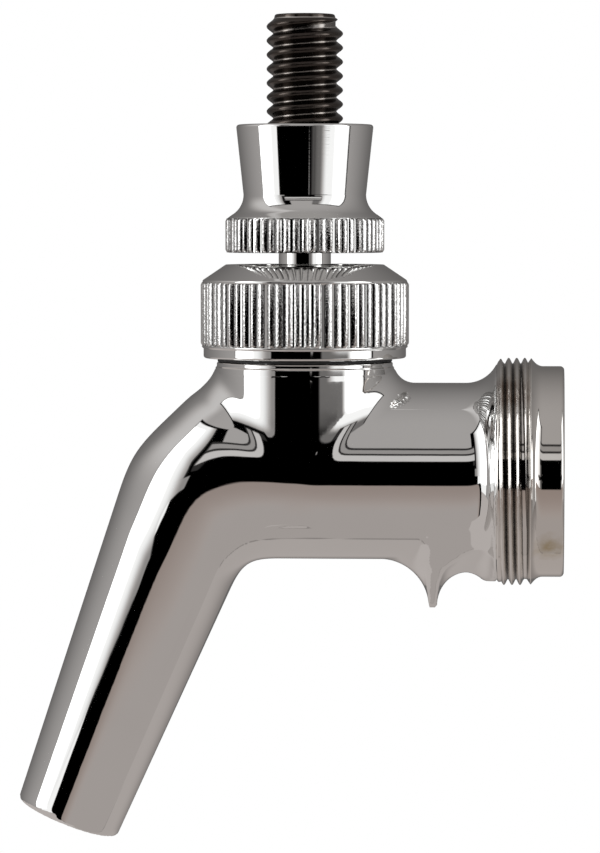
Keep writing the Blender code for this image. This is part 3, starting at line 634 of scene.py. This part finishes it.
def run_tree(name, tree, points, edges, faces, values, place, axis, material):
    # Feed a small mesh through a tree and keep the answer as a plain mesh
    mesh = bpy.data.meshes.new(name)
    mesh.from_pydata((np.array(points, float) * MM).tolist(), edges, faces)
    item = bpy.data.objects.new(name, mesh)
    bpy.context.scene.collection.objects.link(item)
    modifier = item.modifiers.new("make", "NODES")
    modifier.node_group = tree
    names = {s.name: s.identifier for s in tree.interface.items_tree if s.in_out == "INPUT"}
    for key, value in {**values, "Material": material}.items():
        modifier[names[key]] = value
    item.update_tag()
    bpy.context.view_layer.update()
    made = bpy.data.meshes.new_from_object(item.evaluated_get(bpy.context.evaluated_depsgraph_get()))
    item.modifiers.clear()
    item.data = made
    spots = np.empty(len(made.vertices) * 3)
    made.vertices.foreach_get("co", spots)
    spots = spots.reshape(-1, 3)
    if axis == "x":
        spots = spots[:, [2, 0, 1]]
    made.vertices.foreach_set("co", (spots + np.array(place) * MM).ravel())
    made.shade_smooth()
    made.set_sharp_from_angle(angle=SHARP_ANGLE)
    made.update()
    return item

# %% [markdown]
# The tree takes the ridge's section as its geometry and sweeps it along the helix. The section shrinks to
# nothing over a part of a turn at either end.

# %% Thread tree
thread, given = node_tree("helical thread", {
    "Core radius": "Float", "Pitch": "Float", "Turns": "Float", "Fade": "Float", "Material": "Material"})
rise = add(thread, "ShaderNodeMath", {0: given["Pitch"], 1: given["Turns"]}, operation="MULTIPLY")
helix = add(thread, "GeometryNodeCurveSpiral", {
    "Resolution": 72, "Rotations": given["Turns"], "Start Radius": given["Core radius"],
    "End Radius": given["Core radius"], "Height": rise.outputs[0], "Reverse": True})
upright = add(thread, "GeometryNodeSetCurveNormal", {"Curve": helix.outputs[0]}, mode="Z_UP")
along = add(thread, "GeometryNodeSplineParameter").outputs["Factor"]
rest = add(thread, "ShaderNodeMath", {0: 1.0, 1: along}, operation="SUBTRACT")
nearer = add(thread, "ShaderNodeMath", {0: along, 1: rest.outputs[0]}, operation="MINIMUM")
turns = add(thread, "ShaderNodeMath", {0: nearer.outputs[0], 1: given["Turns"]}, operation="MULTIPLY")
faded = add(thread, "ShaderNodeMath", {0: turns.outputs[0], 1: given["Fade"]},
            operation="DIVIDE", use_clamp=True)
section = add(thread, "GeometryNodeMeshToCurve", {"Mesh": given["Geometry"]})
swept = add(thread, "GeometryNodeCurveToMesh", {
    "Curve": upright.outputs[0], "Profile Curve": section.outputs[0], "Scale": faded.outputs[0],
    "Fill Caps": True})
end_tree(thread, swept.outputs[0], given["Material"])
# The ridge's foot is sunk in the core, and its flanks reach a little over the next turn
RIDGE_FOOT = 0.3
RIDGE_LAP = 0.02


def thread_ridge(name, core, pitch, depth, sharp, turns, fade, place, axis, material, body):
    flank = np.linspace(-1.0, 1.0, 15)
    height = depth * (0.5 + 0.5 * np.cos(math.pi * flank)) ** sharp
    section = [(h, u * (pitch / 2 + RIDGE_LAP), 0.0) for u, h in zip(flank, height)]
    section += [(-RIDGE_FOOT, pitch / 2, 0.0), (-RIDGE_FOOT, -pitch / 2, 0.0)]
    loop = [(i, (i + 1) % len(section)) for i in range(len(section))]
    values = {"Core radius": core * MM, "Pitch": pitch * MM, "Turns": turns, "Fade": fade}
    item = run_tree(name, thread, section, loop, [], values, place, axis, material)
    spots = np.array([v.co for v in item.data.vertices]) / MM - np.array(place)
    reach = np.hypot(*(spots[:, [1, 2]] if axis == "x" else spots[:, [0, 1]]).T)
    print(name, "reaches", float(reach.max()))
    settle(item, body, ())

# %% [markdown]
# ## The stud
# The handle screws onto a black-oxide stud. Its core is turned with a chamfered end, and the thread runs down
# into the collar. Core and thread are two pieces, so that each keeps clean faces.

# %% Stud
STUD_TOP = 56.75
STUD_BOTTOM = 32.08
STUD_INNER = 3.83
outline = rounded([
    (PINHOLE, STUD_TOP, 0.0), (3.7, STUD_TOP, 0.25), (STUD_INNER, STUD_TOP - 0.5, 0.2),
    (STUD_INNER, STUD_BOTTOM, 0.2), (PINHOLE, STUD_BOTTOM, 0.0)])
turning("stud_core", outline, 96, BLACKENED, "lever", ["handle_stud"])
thread_ridge("stud_thread", core=STUD_CORE, pitch=1.75, depth=0.84, sharp=0.75, turns=13.1, fade=0.5,
             place=(LEVER_X, 0.0, STUD_BOTTOM + 1.26), axis="z", material=BLACKENED, body="lever")

# %% [markdown]
# ## Knurled turnings
# The bonnet and the collar are turned on a lathe and knurled with straight ridges, so that wet fingers can
# grip them. A texture could only paint the ridges. Geometry Nodes set one ridge round a circle, each a little
# different from the next, because a knurling wheel never presses evenly.

# %% Knurl tree
knurl, given = node_tree("ring of ridges", {
    "Count": "Int", "Radius": "Float", "Unevenness": "Float", "Lean": "Float", "Seed": "Int",
    "Material": "Material"})
circle = add(knurl, "GeometryNodeMeshCircle", {"Vertices": given["Count"], "Radius": given["Radius"]})
number = add(knurl, "GeometryNodeInputIndex").outputs[0]
part = add(knurl, "ShaderNodeMath", {0: number, 1: given["Count"]}, operation="DIVIDE")
angle = add(knurl, "ShaderNodeMath", {0: part.outputs[0], 1: math.tau}, operation="MULTIPLY")
least = add(knurl, "ShaderNodeMath", {0: 1.0, 1: given["Unevenness"]}, operation="SUBTRACT")
uneven = add(knurl, "FunctionNodeRandomValue", {
    2: least.outputs[0], 3: 1.0, "Seed": given["Seed"]}, data_type="FLOAT")
other = add(knurl, "ShaderNodeMath", {0: given["Seed"], 1: 1.0}, operation="ADD")
sway = add(knurl, "FunctionNodeRandomValue", {2: -1.0, 3: 1.0, "Seed": other.outputs[0]}, data_type="FLOAT")
lean = add(knurl, "ShaderNodeMath", {0: sway.outputs[1], 1: given["Lean"]}, operation="MULTIPLY")
turn = add(knurl, "ShaderNodeMath", {0: angle.outputs[0], 1: lean.outputs[0]}, operation="ADD")
heading = add(knurl, "ShaderNodeCombineXYZ", {"Z": turn.outputs[0]})
size = add(knurl, "ShaderNodeCombineXYZ", {"X": uneven.outputs[1], "Y": 1.0, "Z": 1.0})
ring = add(knurl, "GeometryNodeInstanceOnPoints", {
    "Points": circle.outputs[0], "Instance": given["Geometry"], "Rotation": heading.outputs[0],
    "Scale": size.outputs[0]})
end_tree(knurl, ring.outputs[0], given["Material"])

# %% [markdown]
# One ridge is a short bar with a pointed back, and its ends sink into the turning. Wear makes some ridges
# lower than others and turns them a little.

# %% Ridges
# Distance from either end of a ridge, and the share of its full depth there
RIDGE_ENDS = [(0.0, 0.0), (0.12, 0.6), (0.35, 1.0)]


def ridges(name, count, radius, depth, bottom, top, wear, seed, body, material,
           place=LEVER_FOOT, axis="z"):
    # A ring of ridges that stand out by depth, or inwards where depth is negative; wear makes them uneven
    side = math.copysign(1.0, depth)
    half = math.pi * radius / count
    flank = [(-0.12 * side, 1.0), (0.02 * side, 0.9), (0.55 * depth, 0.52), (0.93 * depth, 0.2)]
    section = [(x, -y * half) for x, y in flank] + [(depth, 0.0)] + [(x, y * half) for x, y in flank[::-1]]
    levels = [(bottom + far, share) for far, share in RIDGE_ENDS]
    levels += [(top - far, share) for far, share in RIDGE_ENDS[::-1]]
    points = [(x * share if x * side > 0 else x, y, h) for h, share in levels for x, y in section]
    n = len(section)
    faces = [(a * n + i, a * n + i + 1, a * n + n + i + 1, a * n + n + i)
             for a in range(len(levels) - 1) for i in range(n - 1)]
    faces += [(a * n + n - 1, a * n, a * n + n, a * n + 2 * n - 1) for a in range(len(levels) - 1)]
    faces += [tuple(range(n))[::-1], tuple(range(len(points) - n, len(points)))]
    if side < 0.0:
        faces = [face[::-1] for face in faces]
    values = {"Count": count, "Radius": radius * MM, "Unevenness": 0.55 * wear, "Lean": 0.3 * wear,
              "Seed": seed}
    item = run_tree(name, knurl, points, [], faces, values, place, axis, material)
    settle(item, body, ())

# %% [markdown]
# ## The bonnet
# The bonnet screws down on the neck and holds the ball in its seat. A cone leads up to the hole that the
# lever swings in, and a plain band stands below the knurl.

# %% Bonnet
outline = rounded([
    (8.57, 25.71, 0.12), (9.85, 25.71, 0.18), (12.95, 23.62, 0.25), (BONNET_RADIUS, 23.4, 0.1),
    (BONNET_RADIUS, 15.75, 0.1), (12.95, 15.55, 0.15), (BONNET_RADIUS, 15.3, 0.1),
    (BONNET_RADIUS, 14.1, 0.3), (10.2, 14.06, 0.1), (10.2, 19.3, 0.0), (6.24, 19.3, 0.0)])
turning("bonnet_shell", outline, 240, POLISHED, "bonnet", ["bonnet"])
ridges("bonnet_ridges", count=68, radius=BONNET_RADIUS, depth=0.43, bottom=15.6, top=23.6, wear=1.0,
       seed=4, body="bonnet", material=KNURLED)

# %% [markdown]
# ## The collar
# The collar runs on the stud and locks the handle from below. It tapers to a waist, flares out, and ends in a
# knurled skirt. The skirt is hollowed to a sphere round the ball's centre, so that it can swing over the
# bonnet.

# %% Collar
HOLLOW = 17.471
COLLAR_TOP = 43.09
COLLAR_BOTTOM = 27.22
COLLAR_SHELF = 36.88
# The hole for the stud, here and in the head of the lever
STUD_HOLE = 4.96
SKIRT_BORE = 6.3
WAIST_ARC = 2.9
flare = [(10.53 + WAIST_ARC * math.cos(a), 34.39 + WAIST_ARC * math.sin(a))
         for a in np.radians(np.linspace(180.0, 241.0, 10))]
dome = [(HOLLOW * math.cos(a), PIVOT_Z + HOLLOW * math.sin(a))
        for a in np.arccos(np.linspace(9.45, SKIRT_BORE, 8) / HOLLOW)]
outline = rounded(
    [(STUD_HOLE, COLLAR_TOP, 0.3), (8.56, COLLAR_TOP, 0.35)] + [(r, h, 0.0) for r, h in flare]
    + [(9.6, 31.5, 0.2), (COLLAR_RADIUS, 31.3, 0.1), (COLLAR_RADIUS, 27.5, 0.1),
       (COLLAR_RADIUS, COLLAR_BOTTOM, 0.1)]
    + [(r, h, 0.0) for r, h in dome] + [(SKIRT_BORE, COLLAR_SHELF, 0.0), (STUD_HOLE, COLLAR_SHELF, 0.0)])
turning("collar_shell", outline, 200, SATIN, "collar", ["lever_collar"])
ridges("collar_ridges", count=58, radius=COLLAR_RADIUS, depth=0.38, bottom=COLLAR_BOTTOM, top=31.46,
       wear=1.0, seed=9, body="collar", material=GRIPPED)

# %% [markdown]
# ## The coupling
# The rear end carries the thread for the coupling nut, a plain pilot ring, and a socket with serrations that
# keep the faucet from turning on its shank. The knurl tree also makes the serrations, turned inwards.

# %% Coupling
COUPLING_CORE = 13.4
PILOT_RADIUS = 13.1
SOCKET_RADIUS = 11.2
SEAT_RADIUS = 10.6
INLET_RADIUS = 6.25
RING_BORE = 11.97
runout = [(PILOT_RADIUS + 0.95 * (1.0 - t) ** 2.2, -4.05 + 1.45 * t, 0.0) for t in np.linspace(0.0, 1.0, 16)]
outline = rounded(
    [(RING_BORE, -8.35, 0.0), (13.35, -8.36, 0.1), (13.8, -8.15, 0.25), (13.75, -7.75, 0.25),
     (COUPLING_CORE, -7.4, 0.1), (COUPLING_CORE, -4.6, 0.1), (14.08, -4.12, 0.08)] + runout
    + [(PILOT_RADIUS, 0.0, 0.5), (11.35, 0.0, 0.12), (SOCKET_RADIUS, -0.2, 0.1),
       (SOCKET_RADIUS, -1.7, 0.05), (SEAT_RADIUS, -1.75, 0.05), (SEAT_RADIUS, -6.6, 0.15),
       (INLET_RADIUS, -6.6, 0.1), (INLET_RADIUS, -7.0, 0.0), (RING_BORE, -7.0, 0.0)])
turning("coupling_ring", outline, 256, STAINED, "faucet", place=REAR_CENTRE, axis="x")
ridges("socket_serrations", count=30, radius=SOCKET_RADIUS, depth=-0.6, bottom=-1.74, top=-0.1, wear=0.0,
       seed=1, body="faucet", material=POLISHED, place=REAR_CENTRE, axis="x")
thread_ridge("coupling_thread", core=COUPLING_CORE, pitch=1.0, depth=0.75, sharp=0.8, turns=3.6, fade=0.3,
             place=(-8.15, 0.0, 0.0), axis="x", material=THREADED, body="faucet")

# %% [markdown]
# ## The lever
# Under the collar the lever narrows to a polished neck and ends in the ball that it tilts on, with a finger
# below that moves the valve. It is one turned profile with two arcs.

# %% Lever
BALL = 5.55
LEVER_NECK = 3.25
FINGER = 1.7
TIP = 2.2
LEVER_HEAD = 6.0
HEAD_TOP = 36.57
HEAD_BOTTOM = 30.17
HEAD_SOCKET = 31.77
ball = [(BALL * math.cos(a), PIVOT_Z + BALL * math.sin(a))
        for a in np.linspace(math.acos(LEVER_NECK / BALL), -math.acos(FINGER / BALL), 24)]
tip = [(TIP * math.cos(a), TIP * math.sin(a)) for a in np.linspace(math.acos(FINGER / TIP), -1.56, 10)]
outline = rounded(
    [(PINHOLE, HEAD_SOCKET, 0.0), (STUD_HOLE, HEAD_SOCKET, 0.0), (STUD_HOLE, HEAD_TOP, 0.0),
     (LEVER_HEAD, HEAD_TOP, 0.2), (LEVER_HEAD, HEAD_BOTTOM, 0.3), (LEVER_NECK, HEAD_BOTTOM, 0.4)]
    + [(r, h, 0.0) for r, h in ball + tip] + [(PINHOLE, -TIP, 0.0)])
turning("lever_turning", outline, 96, POLISHED, "lever", ["lever"])

# %% [markdown]
# ## Inner pieces
# The washers, the seals and the sliding valve have plain shapes that the solids already give. They keep their
# solids and take real finishes.

# %% Inner pieces
INNER = {
    "bonnet_gasket": RUBBER, "friction_washer": ACETAL, "ball_washer": ACETAL, "ball_o_ring": RUBBER,
    "valve_shaft": TURNED, "valve_o_ring": RUBBER, "shaft_nut": TURNED, "coupling_washer": RUBBER}
for name, material in INNER.items():
    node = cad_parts[name]
    node.data.materials.clear()
    node.data.materials.append(material)
print(len(INNER), "inner pieces dressed")

# %% [markdown]
# ## Studio
# Polished metal is only as good as what it mirrors. The reflections in the photograph suggest a light tent:
# two white walls, a grey roof and back, a taupe table, and a dark opening for the lens with a light seam
# above it. Where each of them stood is a guess from the place of its reflection. The tent here is a sphere
# round the faucet whose glow at each point comes from its bearing and height as seen from the faucet. Only
# reflections see it.

# %% Cloth
# Shares of red, green and blue that shaded cloth loses; it gains a little red
TAUPE = np.array([-0.03, 0.06, 0.1])


def step(value, low, high):
    # Rises smoothly from 0 at low to 1 at high
    t = np.clip((value - low) / (high - low), 0.0, 1.0)
    return t * t * (3.0 - 2.0 * t)


def between(value, low, high, soft_low, soft_high):
    # 1 between low and high and 0 outside, with a softness of its own at each end
    return step(value, low - soft_low, low + soft_low) * step(-value, -high - soft_high, -high + soft_high)


def warm(glow, share):
    # Cloth in shade looks taupe; lit cloth looks white
    share = share * step(-glow, -0.9, -0.4)
    return glow[..., None] * (1.0 - share[..., None] * TAUPE)


cloth = bpy.data.materials.new("tent_cloth")
cloth.use_nodes = True
cloth.cycles.emission_sampling = "NONE"
shader = cloth.node_tree.nodes["Principled BSDF"]
shader.inputs["Base Color"].default_value = (0.0, 0.0, 0.0, 1.0)
shader.inputs["Specular IOR Level"].default_value = 0.0
shader.inputs["Emission Strength"].default_value = 1.0
painted = add(cloth.node_tree, "ShaderNodeAttribute", attribute_name="glow")
cloth.node_tree.links.new(painted.outputs["Color"], shader.inputs["Emission Color"])


def hang(name, spots, light):
    # Hang a grid of cloth whose glow is given at each of its points, seen by reflections alone
    columns, rows = spots.shape[:2]
    i, j = [v.ravel() for v in np.meshgrid(np.arange(columns - 1), np.arange(rows - 1), indexing="ij")]
    mesh = bpy.data.meshes.new(name)
    corner = i * rows + j
    mesh.from_pydata(spots.reshape(-1, 3).tolist(), [],
                     np.stack([corner, corner + 1, corner + rows + 1, corner + rows], 1).tolist())
    glow = mesh.attributes.new("glow", "FLOAT_COLOR", "POINT")
    colour = np.concatenate([light, np.ones(light.shape[:2] + (1,))], 2)
    glow.data.foreach_set("color", colour.astype(np.float32).ravel())
    mesh.materials.append(cloth)
    item = bpy.data.objects.new(name, mesh)
    bpy.context.scene.collection.objects.link(item)
    item.visible_camera = item.visible_diffuse = item.visible_shadow = False
    print(name, len(mesh.polygons), "faces")

# %% [markdown]
# The panels are laid on the tent one over the other, in this order, so a later one covers an earlier one.

# %% Tent
HUB = np.array([-0.033, 0.0, 0.005])
TENT_RADIUS = 0.6
# Softness of every lower and upper edge, in degrees
LEVEL_SOFT = 0.4
# Each panel: left and right edge, their softness, lower and upper edge (degrees), glow
PANELS = {
    "left_frame": (-82.4, -26.0, 0.4, 0.4, -18.0, 50.5, 0.0),
    "left_fade": (-81.0, -35.0, 0.4, 0.6, -3.2, 5.0, 0.3),
    "left_fade_high": (-81.0, -40.5, 0.4, 0.6, 5.0, 48.0, 0.3),
    "left_wall": (-81.0, -46.0, 0.4, 8.0, -3.2, 48.0, 1.08),
    "right_frame": (20.0, 86.5, 3.0, 0.4, -18.0, 50.5, 0.02),
    "right_brown": (20.0, 60.0, 3.0, 1.0, -18.0, 48.0, 0.17),
    "right_wall": (37.0, 84.0, 7.0, 0.4, -18.0, 48.0, 1.1),
    "left_wall_low": (-81.0, -45.0, 0.4, 0.6, -18.0, -3.2, 1.08),
    "left_core": (-80.0, -60.0, 3.0, 6.0, -10.0, 44.0, 3.0),
    "right_core": (60.0, 80.0, 6.0, 3.0, -10.0, 44.0, 3.0),
    "right_fin": (21.0, 54.0, 2.0, 3.0, -3.3, -1.1, 0.17),
    "roof_edge": (-36.0, 36.0, 1.0, 1.0, 9.0, 32.3, 0.03),
    "roof_strip": (-35.0, 35.0, 1.0, 1.0, 24.6, 29.9, 0.33),
    "light_strip": (-35.0, 35.0, 1.0, 1.0, 15.0, 22.2, 0.6),
    "opening": (-29.5, 22.0, 1.0, 1.5, -5.0, 15.0, 0.0),
    "opening_low": (-33.5, 21.0, 1.0, 8.0, -27.0, -4.0, 0.0),
    "opening_foot": (10.0, 46.0, 3.0, 2.0, -6.0, -2.7, 0.0),
    "left_seam": (-42.0, -37.0, 0.4, 0.4, -55.0, -17.0, 0.02),
    "left_floor": (-150.0, -40.5, 9.0, 0.4, -75.0, -18.4, 0.5),
    "slit": (10.0, 12.4, 0.4, 0.4, -1.0, -0.8, 0.9),
    "low_slit": (10.4, 11.8, 0.4, 0.4, -9.2, -7.6, 0.25)}


def table_light(bearing, height):
    # The table brightens towards the faucet, and a dark seam crosses it with paler cloth beyond
    towards_back = np.cos(np.radians(bearing)) / np.tan(np.radians(np.minimum(height, -1.0)))
    glow = 0.22 + 0.18 * step(-height, 17.0, 38.0)
    glow = glow * np.where(towards_back > 0.12, 1.1, 1.0)
    return glow * np.where(np.abs(towards_back - 0.11) < 0.012, 0.6, 1.0)


def tent_light(bearing, height):
    # Glow for a bearing from the lens (right is positive) and a height above the horizon, both in degrees
    towards_lens = np.cos(np.radians(bearing)) * np.cos(np.radians(height))
    from_back = np.degrees(np.arccos(np.clip(-towards_lens, -1, 1)))
    glow = 0.14 + 0.27 * step(from_back, 10.0, 120.0)
    glow = glow + 0.25 * step(-bearing, 60.0, 90.0) * step(bearing, -140.0, -100.0) * step(height, 5.0, 35.0)
    under = step(-height, 17.6, 18.4)
    glow = glow * (1.0 - under) + table_light(bearing, height) * under
    for left, right, soft_left, soft_right, low, high, level in PANELS.values():
        share = between(bearing, left, right, soft_left, soft_right)
        share = share * between(height, low, high, LEVEL_SOFT, LEVEL_SOFT)
        glow = glow * (1.0 - share) + level * share
    return warm(glow, np.where(under > 0.5, 1.0, 0.5))


# The grid is finer in front of the faucet, where the panels are
around = np.concatenate([np.arange(-180, -90, 2.0), np.arange(-90, 90, 0.5), np.arange(90, 181, 2.0)])
upward = np.concatenate([np.arange(-90, -40, 2.0), np.arange(-40, 56, 0.5), np.arange(56, 91, 2.0)])
bearing, height = np.meshgrid(around, upward, indexing="ij")
a = np.radians(bearing)
e = np.radians(height)
spots = HUB + TENT_RADIUS * np.stack([np.sin(a) * np.cos(e), -np.cos(a) * np.cos(e), np.sin(e)], -1)
hang("light_tent", spots, tent_light(bearing, height))

# %% [markdown]
# A fold of taupe cloth hangs close in front of the faucet and below its barrel. It too is a guess from the
# reflections. Being near, it takes up more of the reflection in the spout than in the neck, and so the dark
# streak of the opening narrows down the spout. A black binding on its left edge draws a short dark line on
# the flare.

# %% Near cloth
CLOTH_AHEAD = -45.0
CLOTH_TOP = -10.5
CLOTH_FOOT = -90.0
CLOTH_LEFT = -104.0
CLOTH_RIGHT = 150.0
CLOTH_SLOPE = 2.4
CLOTH_ROUND = 4.0
CLOTH_CORNER = -58.5
BINDING_CORNER = -72.0


def fold(across, corner):
    # Height of an edge that is level on the right and falls away to the left of its rounded corner
    return CLOTH_TOP - CLOTH_SLOPE * CLOTH_ROUND * np.logaddexp(0.0, (corner - across) / CLOTH_ROUND)


across, share = np.meshgrid(
    np.linspace(CLOTH_LEFT, CLOTH_RIGHT, 318), np.linspace(0.0, 1.0, 94), indexing="ij")
outer = fold(across, BINDING_CORNER)
height = outer - share * (outer - CLOTH_FOOT)
spots = MM * np.stack([across, np.full_like(across, CLOTH_AHEAD), height], -1)
depth = fold(across, CLOTH_CORNER) - height
level = (0.31 + 0.09 * step(depth, 0.0, 30.0)) * step(depth, -0.5, 0.7)
hang("near_cloth", spots, warm(level, 2.0 - step(depth, 0.0, 40.0)))

# %% [markdown]
# ## Table and background
# A pale table lies below the faucet and keeps its shadow. The world is plain white. It is the background, and
# it lights the table and the pieces that don't mirror.

# %% Table and background
TABLE_RADIUS = 0.28
TABLE_HEIGHT = -0.107
TABLE_SIDES = 96
mesh = bpy.data.meshes.new("table")
rim = [(HUB[0] + TABLE_RADIUS * math.cos(a), TABLE_RADIUS * math.sin(a), TABLE_HEIGHT)
       for a in np.linspace(0.0, math.tau, TABLE_SIDES, endpoint=False)]
mesh.from_pydata(rim, [], [tuple(range(TABLE_SIDES))])
table = bpy.data.objects.new("table", mesh)
bpy.context.scene.collection.objects.link(table)
mesh.materials.append(finish("pale_table", "#e8e4e0", 0.0, 0.7, 0.05, 2.0, 0.01))
table.visible_glossy = False

world = bpy.data.worlds.new("white_room")
bpy.context.scene.world = world
world.use_nodes = True
background = world.node_tree.nodes["Background"]
background.inputs["Color"].default_value = (1.0, 1.0, 1.0, 1.0)
background.inputs["Strength"].default_value = 1.0
bpy.context.scene.view_settings.view_transform = "Standard"
print("table", TABLE_RADIUS, "m in radius")

# %% [markdown]
# ## Camera
# The lens is long and stands a little above the faucet and a little towards its rear. Its focal length comes
# from how many pixels of the image a metre takes up at the faucet. The sensor's width lies along the longer
# side of the image, which is its height.

# %% Camera
DISTANCE = 0.5
PIXELS_PER_METRE = 8010.0
IMAGE_HEIGHT = 853.0
SENSOR = 36.0
AZIMUTH = math.radians(3.4)
ELEVATION = math.radians(3.0)
TARGET = np.array([-0.0329, 0.0, 0.0055])
lens = bpy.data.cameras.new("lens")
lens.lens = DISTANCE * PIXELS_PER_METRE / IMAGE_HEIGHT * SENSOR
lens.sensor_width = SENSOR
camera = bpy.data.objects.new("camera", lens)
bpy.context.scene.collection.objects.link(camera)
bpy.context.scene.camera = camera
back = np.array([
    math.sin(AZIMUTH) * math.cos(ELEVATION), -math.cos(AZIMUTH) * math.cos(ELEVATION), math.sin(ELEVATION)])
camera.location = TARGET + back * DISTANCE
camera.rotation_euler = (math.pi / 2 - ELEVATION, 0.0, AZIMUTH)
print("camera at", [round(c, 4) for c in camera.location])
